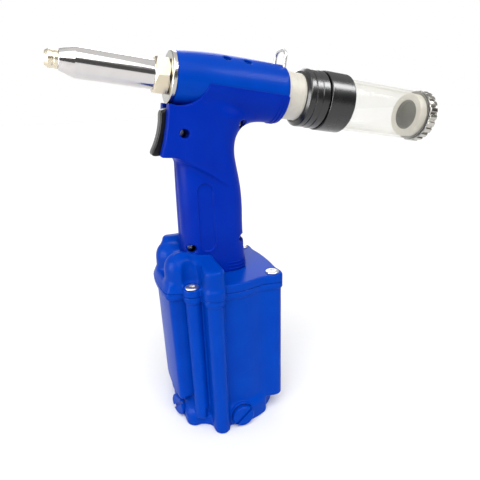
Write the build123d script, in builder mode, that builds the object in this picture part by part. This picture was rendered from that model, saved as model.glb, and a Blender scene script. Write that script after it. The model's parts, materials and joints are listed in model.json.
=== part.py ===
from build123d import *
import math
import os

# Air-hydraulic blind riveter, standing on its base: +Z up, nose towards -X, millimetres.
# The origin is the centre of the flat underside of the base.

# Fits and clearances
running_fit = 0.06
press_gap = 0.02
seat_gap = 0.15
free_gap = 0.4

# Base: the air cylinder under the grip
cup_bore = 77.0
cup_wall = 4.0
cup_floor = 20.0
cup_height = 119.0
wall_half = 37.0
foot_radius = 46.3
foot_height = 18.0
foot_cut = 21.5
foot_slope = 3.0
bolt_pitch = 66.0
bolt_radius = 3.0
bolt_head_radius = 5.4
bolt_head_height = 3.2
bolt_socket = 4.0
bolt_socket_depth = 1.8
bolt_head_round = 1.4
bolt_tail = 2.0
pillar_radius = 6.0
pillar_web = 8.0
pillar_foot = 10.0
duct_radius = 6.8
duct_x = -19.5
duct_y = 45.0
duct_bore = 3.5
bulge_reach = 52.4
bulge_width = 50.0
bulge_round = 9.0
bulge_foot = 22.5
rim_proud = 1.2
lip_proud = 2.0
rim_height = 4.5
foot_round = 1.2
gasket_thickness = 1.2
cover_thickness = 6.1
fairing_reach = 48.5
fairing_width = 55.0
fairing_height = 14.5
fairing_round = 11.0
fairing_top_round = 7.0
ear_front = -40.0
ear_height = 22.0
ear_round = 6.0
ear_top_round = 5.0
notch_radius = 9.5
lobe_height = 11.0
lobe_top_round = 3.0
port_height = 9.6
port_radius = 6.58
port_depth = 10.0
plug_head_radius = 9.0
plug_head_height = 3.4
plug_slot_width = 2.2
plug_slot_depth = 1.8
plug_seal_thickness = 1.0
plug_seal_width = 2.0
plug_chamfer = 0.8
plug_slot_turn = 40.0
side_port_angle = 269.0
front_port_angle = 195.0
inlet_port_angle = 0.0
inlet_flange_radius = 9.2
inlet_flange_length = 6.0
inlet_shank_radius = 8.2
inlet_feed_radius = 2.0
inlet_feed_inset = 3.0

# Air piston and hydraulic rod
bumper_thickness = 4.0
bumper_outer = 32.0
bumper_inner = 20.0
air_piston_thickness = 14.0
air_piston_stroke = 63.0
air_seal_width = 5.0
air_seal_depth = 4.0
rod_radius = 8.0
rod_stud_radius = 5.0
rod_length = 105.0
rod_nut_flats = 16.0
rod_nut_height = 6.0
rod_nut_sunk = 1.0
oil_bore = 9.0
oil_wall = 3.0
oil_top_wall = 4.0
oil_over_travel = 2.0
oil_flange_radius = 16.0
oil_flange_height = 5.0
gland_head_height = 8.0
gland_head_radius = 14.0
gland_spigot = 8.0
rod_seal_height = 3.0
oil_pipe_radius = 4.5
oil_pipe_bore = 2.5
oil_pipe_short = 1.0

# Head: stations run along its axis to the rear from the barrel's front face
head_tilt = 9.5
head_x = -29.2
head_above_oil = 62.5
barrel_length = 85.5
barrel_front_radius = 18.2
barrel_radius = 21.5
barrel_flare = 42.0
barrel_bore = 15.5
barrel_front_wall = 12.0
collar_thickness = 3.3
collar_radius = 18.6
collar_edge = 0.6
nut_length = 10.2
nut_flats = 24.0
nut_chamfer = 1.4
nose_radius = 10.2
nose_tip_radius = 6.7
nose_cone = 9.8
nose_reach = 61.3
nose_tail = 9.0
nosepiece_radius = 5.9
nosepiece_head = 8.5
nosepiece_round = 2.0
nosepiece_shank = 4.4
nosepiece_bore = 2.1
nosepiece_lip = 13.0
nosepiece_point = 3.4
front_gland_length = 10.0
gland_seal_width = 2.4
gland_seal_depth = 1.8
pull_rod_radius = 5.9
pull_bore = 3.0
pull_rest = 36.0
pull_head = 12.0
pull_tail = 50.0
piston_seal_width = 2.6
piston_seal_depth = 2.2
rear_gland_length = 8.0
jaw_case_length = 48.0
jaw_case_wall = 2.0
jaw_case_front = 11.0
jaw_case_mouth = 4.9
jaw_case_gap = 1.0
jaw_length = 15.0
jaw_gap = 0.6
jaw_grip_radius = 1.6
pusher_length = 9.0
thread_length = 9.0
return_spring_wire = 2.2
spring_clearance = 1.0
jaw_spring_wire = 1.6
valve_spring_wire = 0.8
oil_screw_radius = 2.5
oil_screw_length = 4.0
oil_screw_sunk = 1.2
oil_screw_socket = 1.2
oil_screw_stations = (36.0, 52.0)
oil_screw_angle = 32.0
hanger_wire = 1.0
hanger_half_span = 8.7
hanger_station = 82.6
hanger_height = 10.2
hanger_depth = 4.0
hanger_round = 4.0

# Mandrel collector behind the barrel
adapter_radius = 18.0
adapter_bore = 13.5
adapter_show = 15.0
adapter_spigot = 6.0
adapter_tail = 4.0
ring_radius = 22.5
ring_length = 18.8
ring_chamfer = 3.0
ring_waist = 0.8
ring_waist_length = 4.0
ring_lip = 1.3
joint_groove = 1.0
collector_radius = 23.3
collector_length = 22.0
collector_round = 1.5
collector_web = 16.0
tube_radius = 20.6
tube_wall = 2.0
tube_length = 91.0
tube_seat = 14.0
cap_radius = 21.8
cap_length = 8.0
cap_spigot = 11.0
cap_recess_radius = 12.0
cap_recess_depth = 14.0
cap_flutes = 22
cap_flute_radius = 1.5
cap_seal_thickness = 1.4
cap_edge = 0.8

# Handle covers and trigger
grip_front = -31.5
grip_back_room = 8.5
grip_thickness = 36.0
grip_round = 13.0
grip_wall = 4.0
grip_lean = 4.8
neck_round = 20.0
neck_rise = 5.0
cavity_over = 2.0
cradle_wall = 0.9
cradle_drop = 1.5
cradle_start = 25.0
cradle_scoop = 13.0
housing_top_x = -37.6
housing_low_x = -45.4
housing_top_below = 17.6
housing_height = 36.4
housing_width = 30.0
housing_slope = 3.0
housing_edge = 2.0
housing_depth = 8.0
panel_x = -14.0
panel_width = 12.0
panel_length = 53.0
panel_low = 20.0
panel_depth = 0.6
grip_screw_radius = 2.0
grip_screw_head = 3.4
grip_screw_head_height = 3.0
grip_recess_radius = 3.6
grip_screw_seat = 7.5
grip_screw_end = 10.0
grip_boss_radius = 4.6
grip_socket = 2.5
upper_screw_drop = 38.1
neck_screw_drop = 34.0
lower_screw_rise = 25.4
rear_screw_rise = 21.5
front_screw_inset = 3.6
neck_screw_reach = 4.3
rear_screw_inset = 3.6
trigger_width = 12.0
trigger_side_gap = 0.2
trigger_pivot_x = -34.6
trigger_pivot_drop = 24.0
trigger_pin_radius = 1.5
trigger_pin_reach = 11.0
trigger_eye = 3.6
trigger_height = 28.0
trigger_top_rise = 3.0
trigger_top_reach = 6.8
trigger_low_reach = 14.2
trigger_sag = 1.8
trigger_back = 3.7
trigger_edge = 1.0
trigger_slot_back = 0.6
trigger_slot_gap = 2.6
valve_drop = 22.5
valve_radius = 5.0
valve_wall = 1.5
valve_length = 26.5
valve_front = 11.0
stem_radius = 2.0
stem_head_length = 6.0
stem_tip_gap = 0.2
valve_end_wall = 1.5
valve_vent = 1.0
air_pipe_x = -19.0
air_pipe_radius = 2.8
air_pipe_bore = 1.9
air_pipe_seat = 2.0

# Levels and places that follow from the sizes above
cup_radius = cup_bore / 2 + cup_wall
cover_bottom = cup_height + gasket_thickness
deck = cover_bottom + cover_thickness
bolt_spots = [(x * bolt_pitch / 2, y * bolt_pitch / 2) for x in (-1, 1) for y in (-1, 1)]
duct_spots = [(duct_x, -duct_y), (duct_x, duct_y)]

piston_low = cup_floor + bumper_thickness
piston_high = piston_low + air_piston_thickness
oil_radius = oil_bore + oil_wall
oil_foot = cover_bottom - oil_flange_height
oil_room = piston_high + rod_length + air_piston_stroke + oil_over_travel
oil_top = oil_room + oil_top_wall
grip_foot = oil_radius + grip_back_room
grip_depth = grip_foot - grip_front

head_z = oil_top + head_above_oil
head_cos = math.cos(math.radians(head_tilt))
head_sin = math.sin(math.radians(head_tilt))
head_origin = Vector(head_x, 0, head_z)
head_dir = Vector(head_cos, 0, -head_sin)
head_up = Vector(head_sin, 0, head_cos)
head_axis = Axis(head_origin, head_dir)
head_profile = Plane(origin=head_origin, x_dir=head_dir, z_dir=(0, -1, 0))


def head_point(station, up):
    """Point in the middle plane, given along and across the head's axis."""
    spot = head_origin + head_dir * station + head_up * up
    return (spot.X, spot.Z)


def head_plane(station):
    """Plane across the head at a station: local X is up, the normal points to the rear."""
    return Plane(origin=head_origin + head_dir * station, x_dir=head_up, z_dir=head_dir)


def turned(*points):
    """Closed outline of (station, radius) points, ready to be revolved about the head's axis."""
    with BuildSketch(head_profile) as outline:
        with BuildLine():
            Polyline(*points, close=True)
        make_face()
    return outline.sketch


def tube_outline(start, end, inner, outer):
    """Outline of a plain tube on the head's axis."""
    return turned((start, inner), (end, inner), (end, outer), (start, outer))


def barrel_outline(start_radius, grow, length):
    """Outline from the head's axis to the barrel's flared outside, grown all round."""
    with BuildSketch(head_profile) as outline:
        with BuildLine():
            Polyline((0, barrel_front_radius + grow), (0, start_radius), (length, start_radius),
                     (length, barrel_radius + grow), (barrel_flare, barrel_radius + grow))
            TangentArc((barrel_flare, barrel_radius + grow), (0, barrel_front_radius + grow),
                       tangent=(-1, 0))
        make_face()
    return outline.sketch


def standing(x, *points):
    """Closed outline of (radius, height) points for a piece turned about an upright axis at x."""
    with BuildSketch(Plane.XZ) as outline:
        with BuildLine():
            Polyline(*[(x + radius, height) for radius, height in points], close=True)
        make_face()
    return outline.sketch


def upright(x):
    """Upright axis in the middle plane."""
    return Axis((x, 0, 0), (0, 0, 1))


def base_plan(grow, level, pillars=True, bulge=True, lip=0):
    """Plan of the base at a level: round cylinder, side ducts, bolt pillars and front bulge."""
    with BuildSketch(Plane.XY.offset(level)) as plan:
        Circle(cup_radius + grow)
        with Locations((duct_x, 0)):
            SlotCenterToCenter(2 * duct_y, 2 * (duct_radius + grow), rotation=90)
        if pillars:
            with Locations(*bolt_spots):
                Circle(pillar_radius + grow)
            for turn in (45, -45):
                Rectangle(math.hypot(bolt_pitch, bolt_pitch), pillar_web, rotation=turn)
            with Locations((wall_half / 2, 0)):
                Rectangle(wall_half + 2 * grow, 2 * (wall_half + grow))
        if bulge:
            with Locations((-bulge_reach / 2 - grow - lip, 0)):
                RectangleRounded(bulge_reach, bulge_width + 2 * grow, bulge_round)
    return plan.sketch


def port_plane(angle, wall):
    """Plane across a port in a round wall of the base, its normal pointing outwards."""
    turn = math.radians(angle)
    out = Vector(math.cos(turn), math.sin(turn), 0)
    return Plane(origin=out * wall + Vector(0, 0, port_height), x_dir=(0, 0, 1), z_dir=out)


def spot_depth(radius, wall):
    """How far a flat round seat of this radius cuts into a round wall."""
    return wall - math.sqrt(wall ** 2 - radius ** 2)


def flange_holes(level):
    """Bolt and duct holes through the flange at a level."""
    with BuildSketch(Plane.XY.offset(level)) as holes:
        with Locations(*bolt_spots):
            Circle(bolt_radius + running_fit)
        with Locations(*duct_spots):
            Circle(duct_bore)
    return holes.sketch


def edges_near(builder, *points):
    """The edge of a part that lies nearest to each point."""
    return [builder.edges().sort_by_distance(point)[0] for point in points]


side_port = port_plane(side_port_angle, foot_radius)
front_port = port_plane(front_port_angle, foot_radius)
inlet_port = port_plane(inlet_port_angle, cup_radius)
plug_spot = spot_depth(plug_head_radius + seat_gap, foot_radius)
inlet_spot = spot_depth(inlet_flange_radius + seat_gap, cup_radius)
os.makedirs("parts", exist_ok=True)


# Base cup: air cylinder with bolt pillars, two side ducts and a wider foot that holds the ports
with BuildPart() as foot_ring:
    with BuildSketch():
        Circle(foot_radius)
        with Locations((foot_cut + foot_radius, 0)):
            Rectangle(2 * foot_radius, 2 * foot_radius, mode=Mode.SUBTRACT)
    extrude(amount=foot_height)
    chamfer(foot_ring.faces().sort_by(Axis.Z)[-1].edges(), foot_slope)
    chamfer(foot_ring.faces().sort_by(Axis.Z)[0].edges(), foot_round)

with BuildPart() as base_cup:
    extrude(base_plan(0, 0, pillars=False, bulge=False), amount=pillar_foot)
    extrude(base_plan(0, pillar_foot, bulge=False), amount=bulge_foot - pillar_foot)
    extrude(base_plan(0, bulge_foot), amount=cup_height - bulge_foot)
    extrude(base_plan(rim_proud, cup_height - rim_height, lip=lip_proud), amount=rim_height)
    add(foot_ring.part)
    with BuildSketch(Plane.XY.offset(cup_floor)):
        Circle(cup_bore / 2)
    extrude(amount=cup_height - cup_floor, mode=Mode.SUBTRACT)
    with BuildSketch(Plane.XY.offset(pillar_foot - bolt_tail)):
        with Locations(*bolt_spots):
            Circle(bolt_radius + running_fit)
    extrude(amount=cup_height, mode=Mode.SUBTRACT)
    with BuildSketch(Plane.XY.offset(cup_floor + duct_bore)):
        with Locations(*duct_spots):
            Circle(duct_bore)
    extrude(amount=cup_height, mode=Mode.SUBTRACT)
    with BuildSketch(Plane.XZ.offset(duct_y)):
        with Locations((duct_x, cup_floor + 2 * duct_bore)):
            Circle(duct_bore)
    extrude(amount=-2 * duct_y, mode=Mode.SUBTRACT)
    for port in (side_port, front_port):
        with BuildSketch(port.offset(-plug_spot)):
            Circle(plug_head_radius + seat_gap)
        extrude(amount=plug_head_radius, mode=Mode.SUBTRACT)
        with BuildSketch(port):
            Circle(port_radius)
        extrude(amount=-port_depth, mode=Mode.SUBTRACT)
    with BuildSketch(inlet_port.offset(-inlet_spot)):
        Circle(inlet_flange_radius + seat_gap)
    extrude(amount=inlet_flange_radius, mode=Mode.SUBTRACT)
    with BuildSketch(inlet_port):
        Circle(inlet_shank_radius)
    extrude(amount=-port_depth, mode=Mode.SUBTRACT)
    with BuildSketch(Plane.XY.offset(port_height)):
        with Locations((cup_radius - port_depth + inlet_feed_inset, 0)):
            Circle(inlet_feed_radius)
    extrude(amount=cup_floor - port_height, mode=Mode.SUBTRACT)
base_cup.part.label = "base_cup"
export_step(base_cup.part, "parts/base_cup.step")

# Gasket between the cup and its cover
with BuildPart() as base_gasket:
    extrude(base_plan(rim_proud, cup_height, lip=lip_proud), amount=gasket_thickness)
    with BuildSketch(Plane.XY.offset(cup_height)):
        Circle(cup_bore / 2)
    extrude(amount=gasket_thickness, mode=Mode.SUBTRACT)
    extrude(flange_holes(cup_height), amount=gasket_thickness, mode=Mode.SUBTRACT)
base_gasket.part.label = "base_gasket"
export_step(base_gasket.part, "parts/base_gasket.step")

# Cover: flange plate with a rounded fairing round the foot of the grip and a bar over the ducts
with BuildPart() as fairing_block:
    with BuildSketch(Plane.XY.offset(deck)):
        with Locations(((duct_x - fairing_reach) / 2, 0)):
            RectangleRounded(fairing_reach + duct_x, fairing_width, fairing_round)
    extrude(amount=fairing_height)
    fillet(fairing_block.faces().sort_by(Axis.Z)[-1].edges(), fairing_top_round)

ear_back = duct_x + duct_radius
with BuildPart() as ear_block:
    with BuildSketch(Plane.XY.offset(deck)):
        with Locations(((ear_front + ear_back) / 2, 0)):
            RectangleRounded(ear_back - ear_front, fairing_width, ear_round)
    extrude(amount=ear_height)
    fillet(ear_block.faces().sort_by(Axis.Z)[-1].edges(), ear_top_round)

with BuildPart() as lobe_bar:
    with BuildSketch(Plane.YZ.offset(duct_x - duct_radius)):
        with BuildLine():
            Polyline((-duct_y - duct_radius, deck), (-duct_y - duct_radius, deck + lobe_height),
                     (-fairing_width / 2, deck + ear_height - ear_top_round),
                     (fairing_width / 2, deck + ear_height - ear_top_round),
                     (duct_y + duct_radius, deck + lobe_height), (duct_y + duct_radius, deck), close=True)
        make_face()
    extrude(amount=2 * duct_radius)
    with BuildSketch(Plane.XY.offset(deck)):
        with Locations((duct_x, 0)):
            SlotCenterToCenter(2 * duct_y, 2 * duct_radius, rotation=90)
    extrude(amount=ear_height, mode=Mode.INTERSECT)
    top_mid = deck + (lobe_height + ear_height - ear_top_round) / 2
    out_mid = (fairing_width / 2 + duct_y) / 2
    fillet(edges_near(lobe_bar, *[(duct_x + x * duct_radius, y * out_mid, top_mid)
                                  for x in (-1, 1) for y in (-1, 1)]), lobe_top_round)

with BuildPart() as base_cover:
    extrude(base_plan(rim_proud, cover_bottom, lip=lip_proud), amount=cover_thickness)
    add(fairing_block.part)
    add(ear_block.part)
    add(lobe_bar.part)
    with BuildSketch(Plane.XY.offset(deck)):
        with Locations(*bolt_spots):
            Circle(notch_radius)
    extrude(amount=ear_height, mode=Mode.SUBTRACT)
    with BuildSketch(Plane.XY.offset(deck)):
        with Locations((grip_front + grip_depth / 2, 0)):
            RectangleRounded(grip_depth + 2 * seat_gap, grip_thickness + 2 * seat_gap, grip_round)
    extrude(amount=ear_height, mode=Mode.SUBTRACT)
    extrude(flange_holes(cover_bottom), amount=cover_thickness, mode=Mode.SUBTRACT)
    with BuildSketch(Plane.XY.offset(cover_bottom)):
        Circle(oil_radius + running_fit)
    extrude(amount=cover_thickness, mode=Mode.SUBTRACT)
    with BuildSketch(Plane.XZ.offset(duct_y)):
        with Locations((air_pipe_x, cover_bottom + cover_thickness / 2)):
            Circle(air_pipe_bore)
    extrude(amount=-2 * duct_y, mode=Mode.SUBTRACT)
    with BuildSketch(Plane.XY.offset(deck - air_pipe_seat)):
        with Locations((air_pipe_x, 0)):
            Circle(air_pipe_radius + press_gap)
    extrude(amount=air_pipe_seat, mode=Mode.SUBTRACT)
base_cover.part.label = "base_cover"
export_step(base_cover.part, "parts/base_cover.step")

# Four long socket screws that clamp the cover to the cup
with BuildPart() as base_bolts:
    with BuildSketch(Plane.XY.offset(pillar_foot - bolt_tail)):
        with Locations(*bolt_spots):
            Circle(bolt_radius)
    extrude(amount=deck - pillar_foot + bolt_tail)
    with BuildSketch(Plane.XY.offset(deck)):
        with Locations(*bolt_spots):
            Circle(bolt_head_radius)
    extrude(amount=bolt_head_height)
    fillet(base_bolts.faces().group_by(Axis.Z)[-1].edges(), bolt_head_round)
    with BuildSketch(Plane.XY.offset(deck + bolt_head_height)):
        with Locations(*bolt_spots):
            RegularPolygon(bolt_socket / 2, 6, major_radius=False)
    extrude(amount=-bolt_socket_depth, mode=Mode.SUBTRACT)
base_bolts.part.label = "base_bolts"
export_step(base_bolts.part, "parts/base_bolts.step")


def coin_plug(port):
    """Slotted plug: a threaded shank in its port and a wide head on a sealing washer."""
    seat = port.offset(plug_seal_thickness - plug_spot)
    with BuildPart() as plug:
        with BuildSketch(seat):
            Circle(plug_head_radius)
        extrude(amount=plug_head_height)
        chamfer(plug.faces().sort_by(Axis(seat.origin, seat.z_dir))[-1].edges(), plug_chamfer)
        with BuildSketch(seat):
            Circle(port_radius - running_fit)
        extrude(amount=plug_spot + running_fit - port_depth - plug_seal_thickness / 2)
        with BuildSketch(seat.offset(plug_head_height)):
            Rectangle(plug_slot_width, 2 * plug_head_radius + plug_slot_width, rotation=plug_slot_turn)
        extrude(amount=-plug_slot_depth, mode=Mode.SUBTRACT)
    return plug


# Plugs in the two ports that are not used, with their washers
side_plug = coin_plug(side_port)
side_plug.part.label = "side_plug"
export_step(side_plug.part, "parts/side_plug.step")

front_plug = coin_plug(front_port)
front_plug.part.label = "front_plug"
export_step(front_plug.part, "parts/front_plug.step")

with BuildPart() as plug_seals:
    for port in (side_port, front_port):
        with BuildSketch(port.offset(-plug_spot)):
            Circle(port_radius + plug_seal_width)
            Circle(port_radius, mode=Mode.SUBTRACT)
        extrude(amount=plug_seal_thickness)
plug_seals.part.label = "plug_seals"
export_step(plug_seals.part, "parts/plug_seals.step")

# Threaded bush for the air supply, at the rear of the base
with BuildPart() as air_inlet_bush:
    with BuildSketch(inlet_port.offset(-inlet_spot)):
        Circle(inlet_flange_radius)
    extrude(amount=inlet_flange_length)
    with BuildSketch(inlet_port.offset(-inlet_spot)):
        Circle(inlet_shank_radius - press_gap)
    extrude(amount=inlet_spot + inlet_feed_inset + inlet_feed_radius - port_depth)
    with BuildSketch(inlet_port.offset(inlet_flange_length - inlet_spot)):
        Circle(port_radius)
    extrude(amount=-inlet_flange_length - port_depth, mode=Mode.SUBTRACT)
air_inlet_bush.part.label = "air_inlet_bush"
export_step(air_inlet_bush.part, "parts/air_inlet_bush.step")

# Air piston group: bumper ring, piston, seal, nut and the rod that pushes the oil
piston_mid = (piston_low + piston_high) / 2
piston_edge = cup_bore / 2 - running_fit
nut_seat = piston_low + rod_nut_sunk + rod_nut_height

with BuildPart() as bumper:
    with BuildSketch(Plane.XY.offset(cup_floor)):
        Circle(bumper_outer)
        Circle(bumper_inner, mode=Mode.SUBTRACT)
    extrude(amount=bumper_thickness)
bumper.part.label = "bumper"
export_step(bumper.part, "parts/bumper.step")

with BuildPart() as air_piston:
    nut_room = rod_nut_flats / math.sqrt(3) + free_gap
    revolve(standing(0, (rod_stud_radius + press_gap, nut_seat), (nut_room, nut_seat),
                     (nut_room, piston_low), (piston_edge, piston_low),
                     (piston_edge, piston_mid - air_seal_width / 2),
                     (piston_edge - air_seal_depth, piston_mid - air_seal_width / 2),
                     (piston_edge - air_seal_depth, piston_mid + air_seal_width / 2),
                     (piston_edge, piston_mid + air_seal_width / 2), (piston_edge, piston_high),
                     (rod_stud_radius + press_gap, piston_high)), axis=upright(0))
air_piston.part.label = "air_piston"
export_step(air_piston.part, "parts/air_piston.step")

with BuildPart() as air_piston_seal:
    with BuildSketch(Plane.XY.offset(piston_mid - air_seal_width / 2 + press_gap)):
        Circle(cup_bore / 2 - running_fit / 2)
        Circle(piston_edge - air_seal_depth + press_gap, mode=Mode.SUBTRACT)
    extrude(amount=air_seal_width - 2 * press_gap)
air_piston_seal.part.label = "air_piston_seal"
export_step(air_piston_seal.part, "parts/air_piston_seal.step")

with BuildPart() as piston_nut:
    with BuildSketch(Plane.XY.offset(piston_low + rod_nut_sunk)):
        RegularPolygon(rod_nut_flats / 2, 6, major_radius=False)
        Circle(rod_stud_radius + press_gap, mode=Mode.SUBTRACT)
    extrude(amount=rod_nut_height)
piston_nut.part.label = "piston_nut"
export_step(piston_nut.part, "parts/piston_nut.step")

with BuildPart() as piston_rod:
    with BuildSketch(Plane.XY.offset(piston_low + rod_nut_sunk)):
        Circle(rod_stud_radius)
    extrude(amount=piston_high - piston_low - rod_nut_sunk)
    with BuildSketch(Plane.XY.offset(piston_high)):
        Circle(rod_radius)
    extrude(amount=rod_length)
    chamfer(piston_rod.faces().sort_by(Axis.Z)[-1].edges(), rod_radius / 8)
piston_rod.part.label = "piston_rod"
export_step(piston_rod.part, "parts/piston_rod.step")

# Oil cylinder in the grip, closed below by a gland, with a pipe up to the barrel
with BuildPart() as oil_cylinder:
    revolve(standing(0, (oil_bore, oil_foot), (oil_flange_radius, oil_foot),
                     (oil_flange_radius, cover_bottom), (oil_radius, cover_bottom),
                     (oil_radius, oil_top), (oil_pipe_bore, oil_top), (oil_pipe_bore, oil_room),
                     (oil_bore, oil_room)), axis=upright(0))
oil_cylinder.part.label = "oil_cylinder"
export_step(oil_cylinder.part, "parts/oil_cylinder.step")

with BuildPart() as rod_gland:
    gland_hole = rod_radius + running_fit
    revolve(standing(0, (gland_hole, oil_foot - gland_head_height),
                     (gland_head_radius, oil_foot - gland_head_height),
                     (gland_head_radius, oil_foot), (oil_bore - press_gap, oil_foot),
                     (oil_bore - press_gap, oil_foot + gland_spigot),
                     (gland_hole, oil_foot + gland_spigot)), axis=upright(0))
rod_gland.part.label = "rod_gland"
export_step(rod_gland.part, "parts/rod_gland.step")

with BuildPart() as rod_seal:
    with BuildSketch(Plane.XY.offset(oil_foot + gland_spigot)):
        Circle(oil_bore - press_gap)
        Circle(rod_radius + running_fit / 2, mode=Mode.SUBTRACT)
    extrude(amount=rod_seal_height)
rod_seal.part.label = "rod_seal"
export_step(rod_seal.part, "parts/rod_seal.step")

bore_station = (barrel_bore * head_sin - head_x) / head_cos
oil_pipe_top = head_point(bore_station, -barrel_bore)[1] - oil_pipe_short
with BuildPart() as oil_pipe:
    with BuildSketch(Plane.XY.offset(oil_top)):
        Circle(oil_pipe_radius)
        Circle(oil_pipe_bore, mode=Mode.SUBTRACT)
    extrude(amount=oil_pipe_top - oil_top)
oil_pipe.part.label = "oil_pipe"
export_step(oil_pipe.part, "parts/oil_pipe.step")

# Barrel of the head: flared outside, plain bore for the pulling piston
flare_rise = barrel_radius - barrel_front_radius
flare_arc = (barrel_flare ** 2 + flare_rise ** 2) / (2 * flare_rise)


def barrel_edge(station):
    """Outside radius of the barrel at a station."""
    short = max(barrel_flare - station, 0)
    return barrel_radius - flare_arc + math.sqrt(flare_arc ** 2 - short ** 2)


def oil_screw_plane(station, sunk):
    """Plane across an oil screw, sunk below the barrel's skin, its normal pointing outwards."""
    turn = math.radians(oil_screw_angle)
    out = head_up * math.cos(turn) - Vector(0, 1, 0) * math.sin(turn)
    spot = head_origin + head_dir * station + out * (barrel_edge(station) - sunk)
    return Plane(origin=spot, x_dir=head_dir, z_dir=out)


hanger_root = math.sqrt(barrel_radius ** 2 - hanger_half_span ** 2) - hanger_depth
hanger_spots = [(hanger_station, -hanger_half_span), (hanger_station, hanger_half_span)]

with BuildPart() as barrel:
    revolve(barrel_outline(nose_radius + running_fit, 0, barrel_length), axis=head_axis)
    revolve(tube_outline(barrel_front_wall, barrel_length, 0, barrel_bore), axis=head_axis,
            mode=Mode.SUBTRACT)
    with BuildSketch(Plane.XY.offset(oil_top)):
        Circle(oil_pipe_radius + press_gap)
    extrude(amount=head_z - oil_top - barrel_bore / 2, mode=Mode.SUBTRACT)
    for station in oil_screw_stations:
        with BuildSketch(oil_screw_plane(station, oil_screw_sunk + oil_screw_length)):
            Circle(oil_screw_radius + press_gap)
        extrude(amount=2 * oil_screw_length, mode=Mode.SUBTRACT)
    with BuildSketch(Plane(origin=head_origin + head_up * hanger_root, x_dir=head_dir, z_dir=head_up)):
        with Locations(*hanger_spots):
            Circle(hanger_wire + press_gap)
    extrude(amount=2 * hanger_depth, mode=Mode.SUBTRACT)
barrel.part.label = "barrel"
export_step(barrel.part, "parts/barrel.step")

with BuildPart() as oil_screws:
    for station in oil_screw_stations:
        with BuildSketch(oil_screw_plane(station, oil_screw_sunk + oil_screw_length)):
            Circle(oil_screw_radius)
        extrude(amount=oil_screw_length)
        with BuildSketch(oil_screw_plane(station, oil_screw_sunk)):
            RegularPolygon(oil_screw_socket, 6)
        extrude(amount=-oil_screw_length / 2, mode=Mode.SUBTRACT)
oil_screws.part.label = "oil_screws"
export_step(oil_screws.part, "parts/oil_screws.step")

# Wire loop to hang the tool from, pushed into two holes on top of the barrel
with BuildPart() as hanger_loop:
    with BuildLine(head_plane(hanger_station)) as loop_line:
        FilletPolyline((hanger_root, -hanger_half_span), (barrel_radius + hanger_height, -hanger_half_span),
                       (barrel_radius + hanger_height, hanger_half_span), (hanger_root, hanger_half_span),
                       radius=hanger_round)
    with BuildSketch(Plane(origin=loop_line.line @ 0, z_dir=loop_line.line % 0)):
        Circle(hanger_wire)
    sweep(path=loop_line.line)
hanger_loop.part.label = "hanger_loop"
export_step(hanger_loop.part, "parts/hanger_loop.step")

# Nose: collar, lock nut, tapered housing and the nosepiece that the rivet is put in
nose_front = -(collar_thickness + nut_length + nose_reach)
nose_hole = nose_front + thread_length
jaw_room = pull_rod_radius + press_gap
jaw_case_edge = jaw_room + jaw_case_wall
nose_bore = jaw_case_edge + running_fit

with BuildPart() as nose_collar:
    revolve(turned((-collar_thickness, nose_radius + running_fit), (0, nose_radius + running_fit),
                   (0, collar_radius), (collar_edge - collar_thickness, collar_radius),
                   (-collar_thickness, collar_radius - collar_edge)), axis=head_axis)
nose_collar.part.label = "nose_collar"
export_step(nose_collar.part, "parts/nose_collar.step")

with BuildPart() as nose_lock_nut:
    nut_back = -collar_thickness
    nut_front = nut_back - nut_length
    nut_face = nut_flats / 2 - nut_chamfer / 4
    nut_corner = nut_flats / math.sqrt(3)
    with BuildSketch(head_plane(nut_front)):
        RegularPolygon(nut_flats / 2, 6, major_radius=False, rotation=30)
    extrude(amount=nut_length)
    revolve(turned((nut_front, nose_radius + running_fit), (nut_front, nut_face),
                   (nut_front + nut_chamfer, nut_corner), (nut_back - nut_chamfer, nut_corner),
                   (nut_back, nut_face), (nut_back, nose_radius + running_fit)),
            axis=head_axis, mode=Mode.INTERSECT)
nose_lock_nut.part.label = "nose_lock_nut"
export_step(nose_lock_nut.part, "parts/nose_lock_nut.step")

with BuildPart() as nose_housing:
    revolve(turned((nose_front, nosepiece_shank + press_gap), (nose_front, nose_tip_radius),
                   (nose_front + nose_cone, nose_radius), (nose_tail, nose_radius),
                   (nose_tail, nose_bore), (nose_hole, nose_bore),
                   (nose_hole, nosepiece_shank + press_gap)), axis=head_axis)
nose_housing.part.label = "nose_housing"
export_step(nose_housing.part, "parts/nose_housing.step")

with BuildPart() as nosepiece:
    tip = nose_front - nosepiece_head
    lip = nose_front + nosepiece_lip
    revolve(turned((tip, nosepiece_bore), (tip, nosepiece_radius - nosepiece_round),
                   (tip + nosepiece_round, nosepiece_radius), (nose_front, nosepiece_radius),
                   (nose_front, nosepiece_shank), (nose_hole, nosepiece_shank),
                   (lip, nosepiece_point), (lip, nosepiece_bore)), axis=head_axis)
nosepiece.part.label = "nosepiece"
export_step(nosepiece.part, "parts/nosepiece.step")

# Glands that close the oil space in the barrel at its front and rear
front_gland_end = barrel_front_wall + front_gland_length
rear_gland_back = barrel_length - adapter_spigot
rear_gland_front = rear_gland_back - rear_gland_length


def gland_outline(start, end):
    """Outline of a gland ring with a seal groove in its bore."""
    groove = (start + end - gland_seal_width) / 2
    hole = pull_rod_radius + running_fit
    return turned((start, hole), (groove, hole), (groove, hole + gland_seal_depth),
                  (groove + gland_seal_width, hole + gland_seal_depth),
                  (groove + gland_seal_width, hole), (end, hole),
                  (end, barrel_bore - press_gap), (start, barrel_bore - press_gap))


def gland_seal_outline(start, end):
    """Outline of the seal ring in a gland's groove."""
    middle = (start + end) / 2
    half = gland_seal_width / 2 - press_gap
    return tube_outline(middle - half, middle + half, pull_rod_radius + running_fit / 2,
                        pull_rod_radius + running_fit + gland_seal_depth - press_gap)


with BuildPart() as front_gland:
    revolve(gland_outline(barrel_front_wall, front_gland_end), axis=head_axis)
front_gland.part.label = "front_gland"
export_step(front_gland.part, "parts/front_gland.step")

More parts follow.
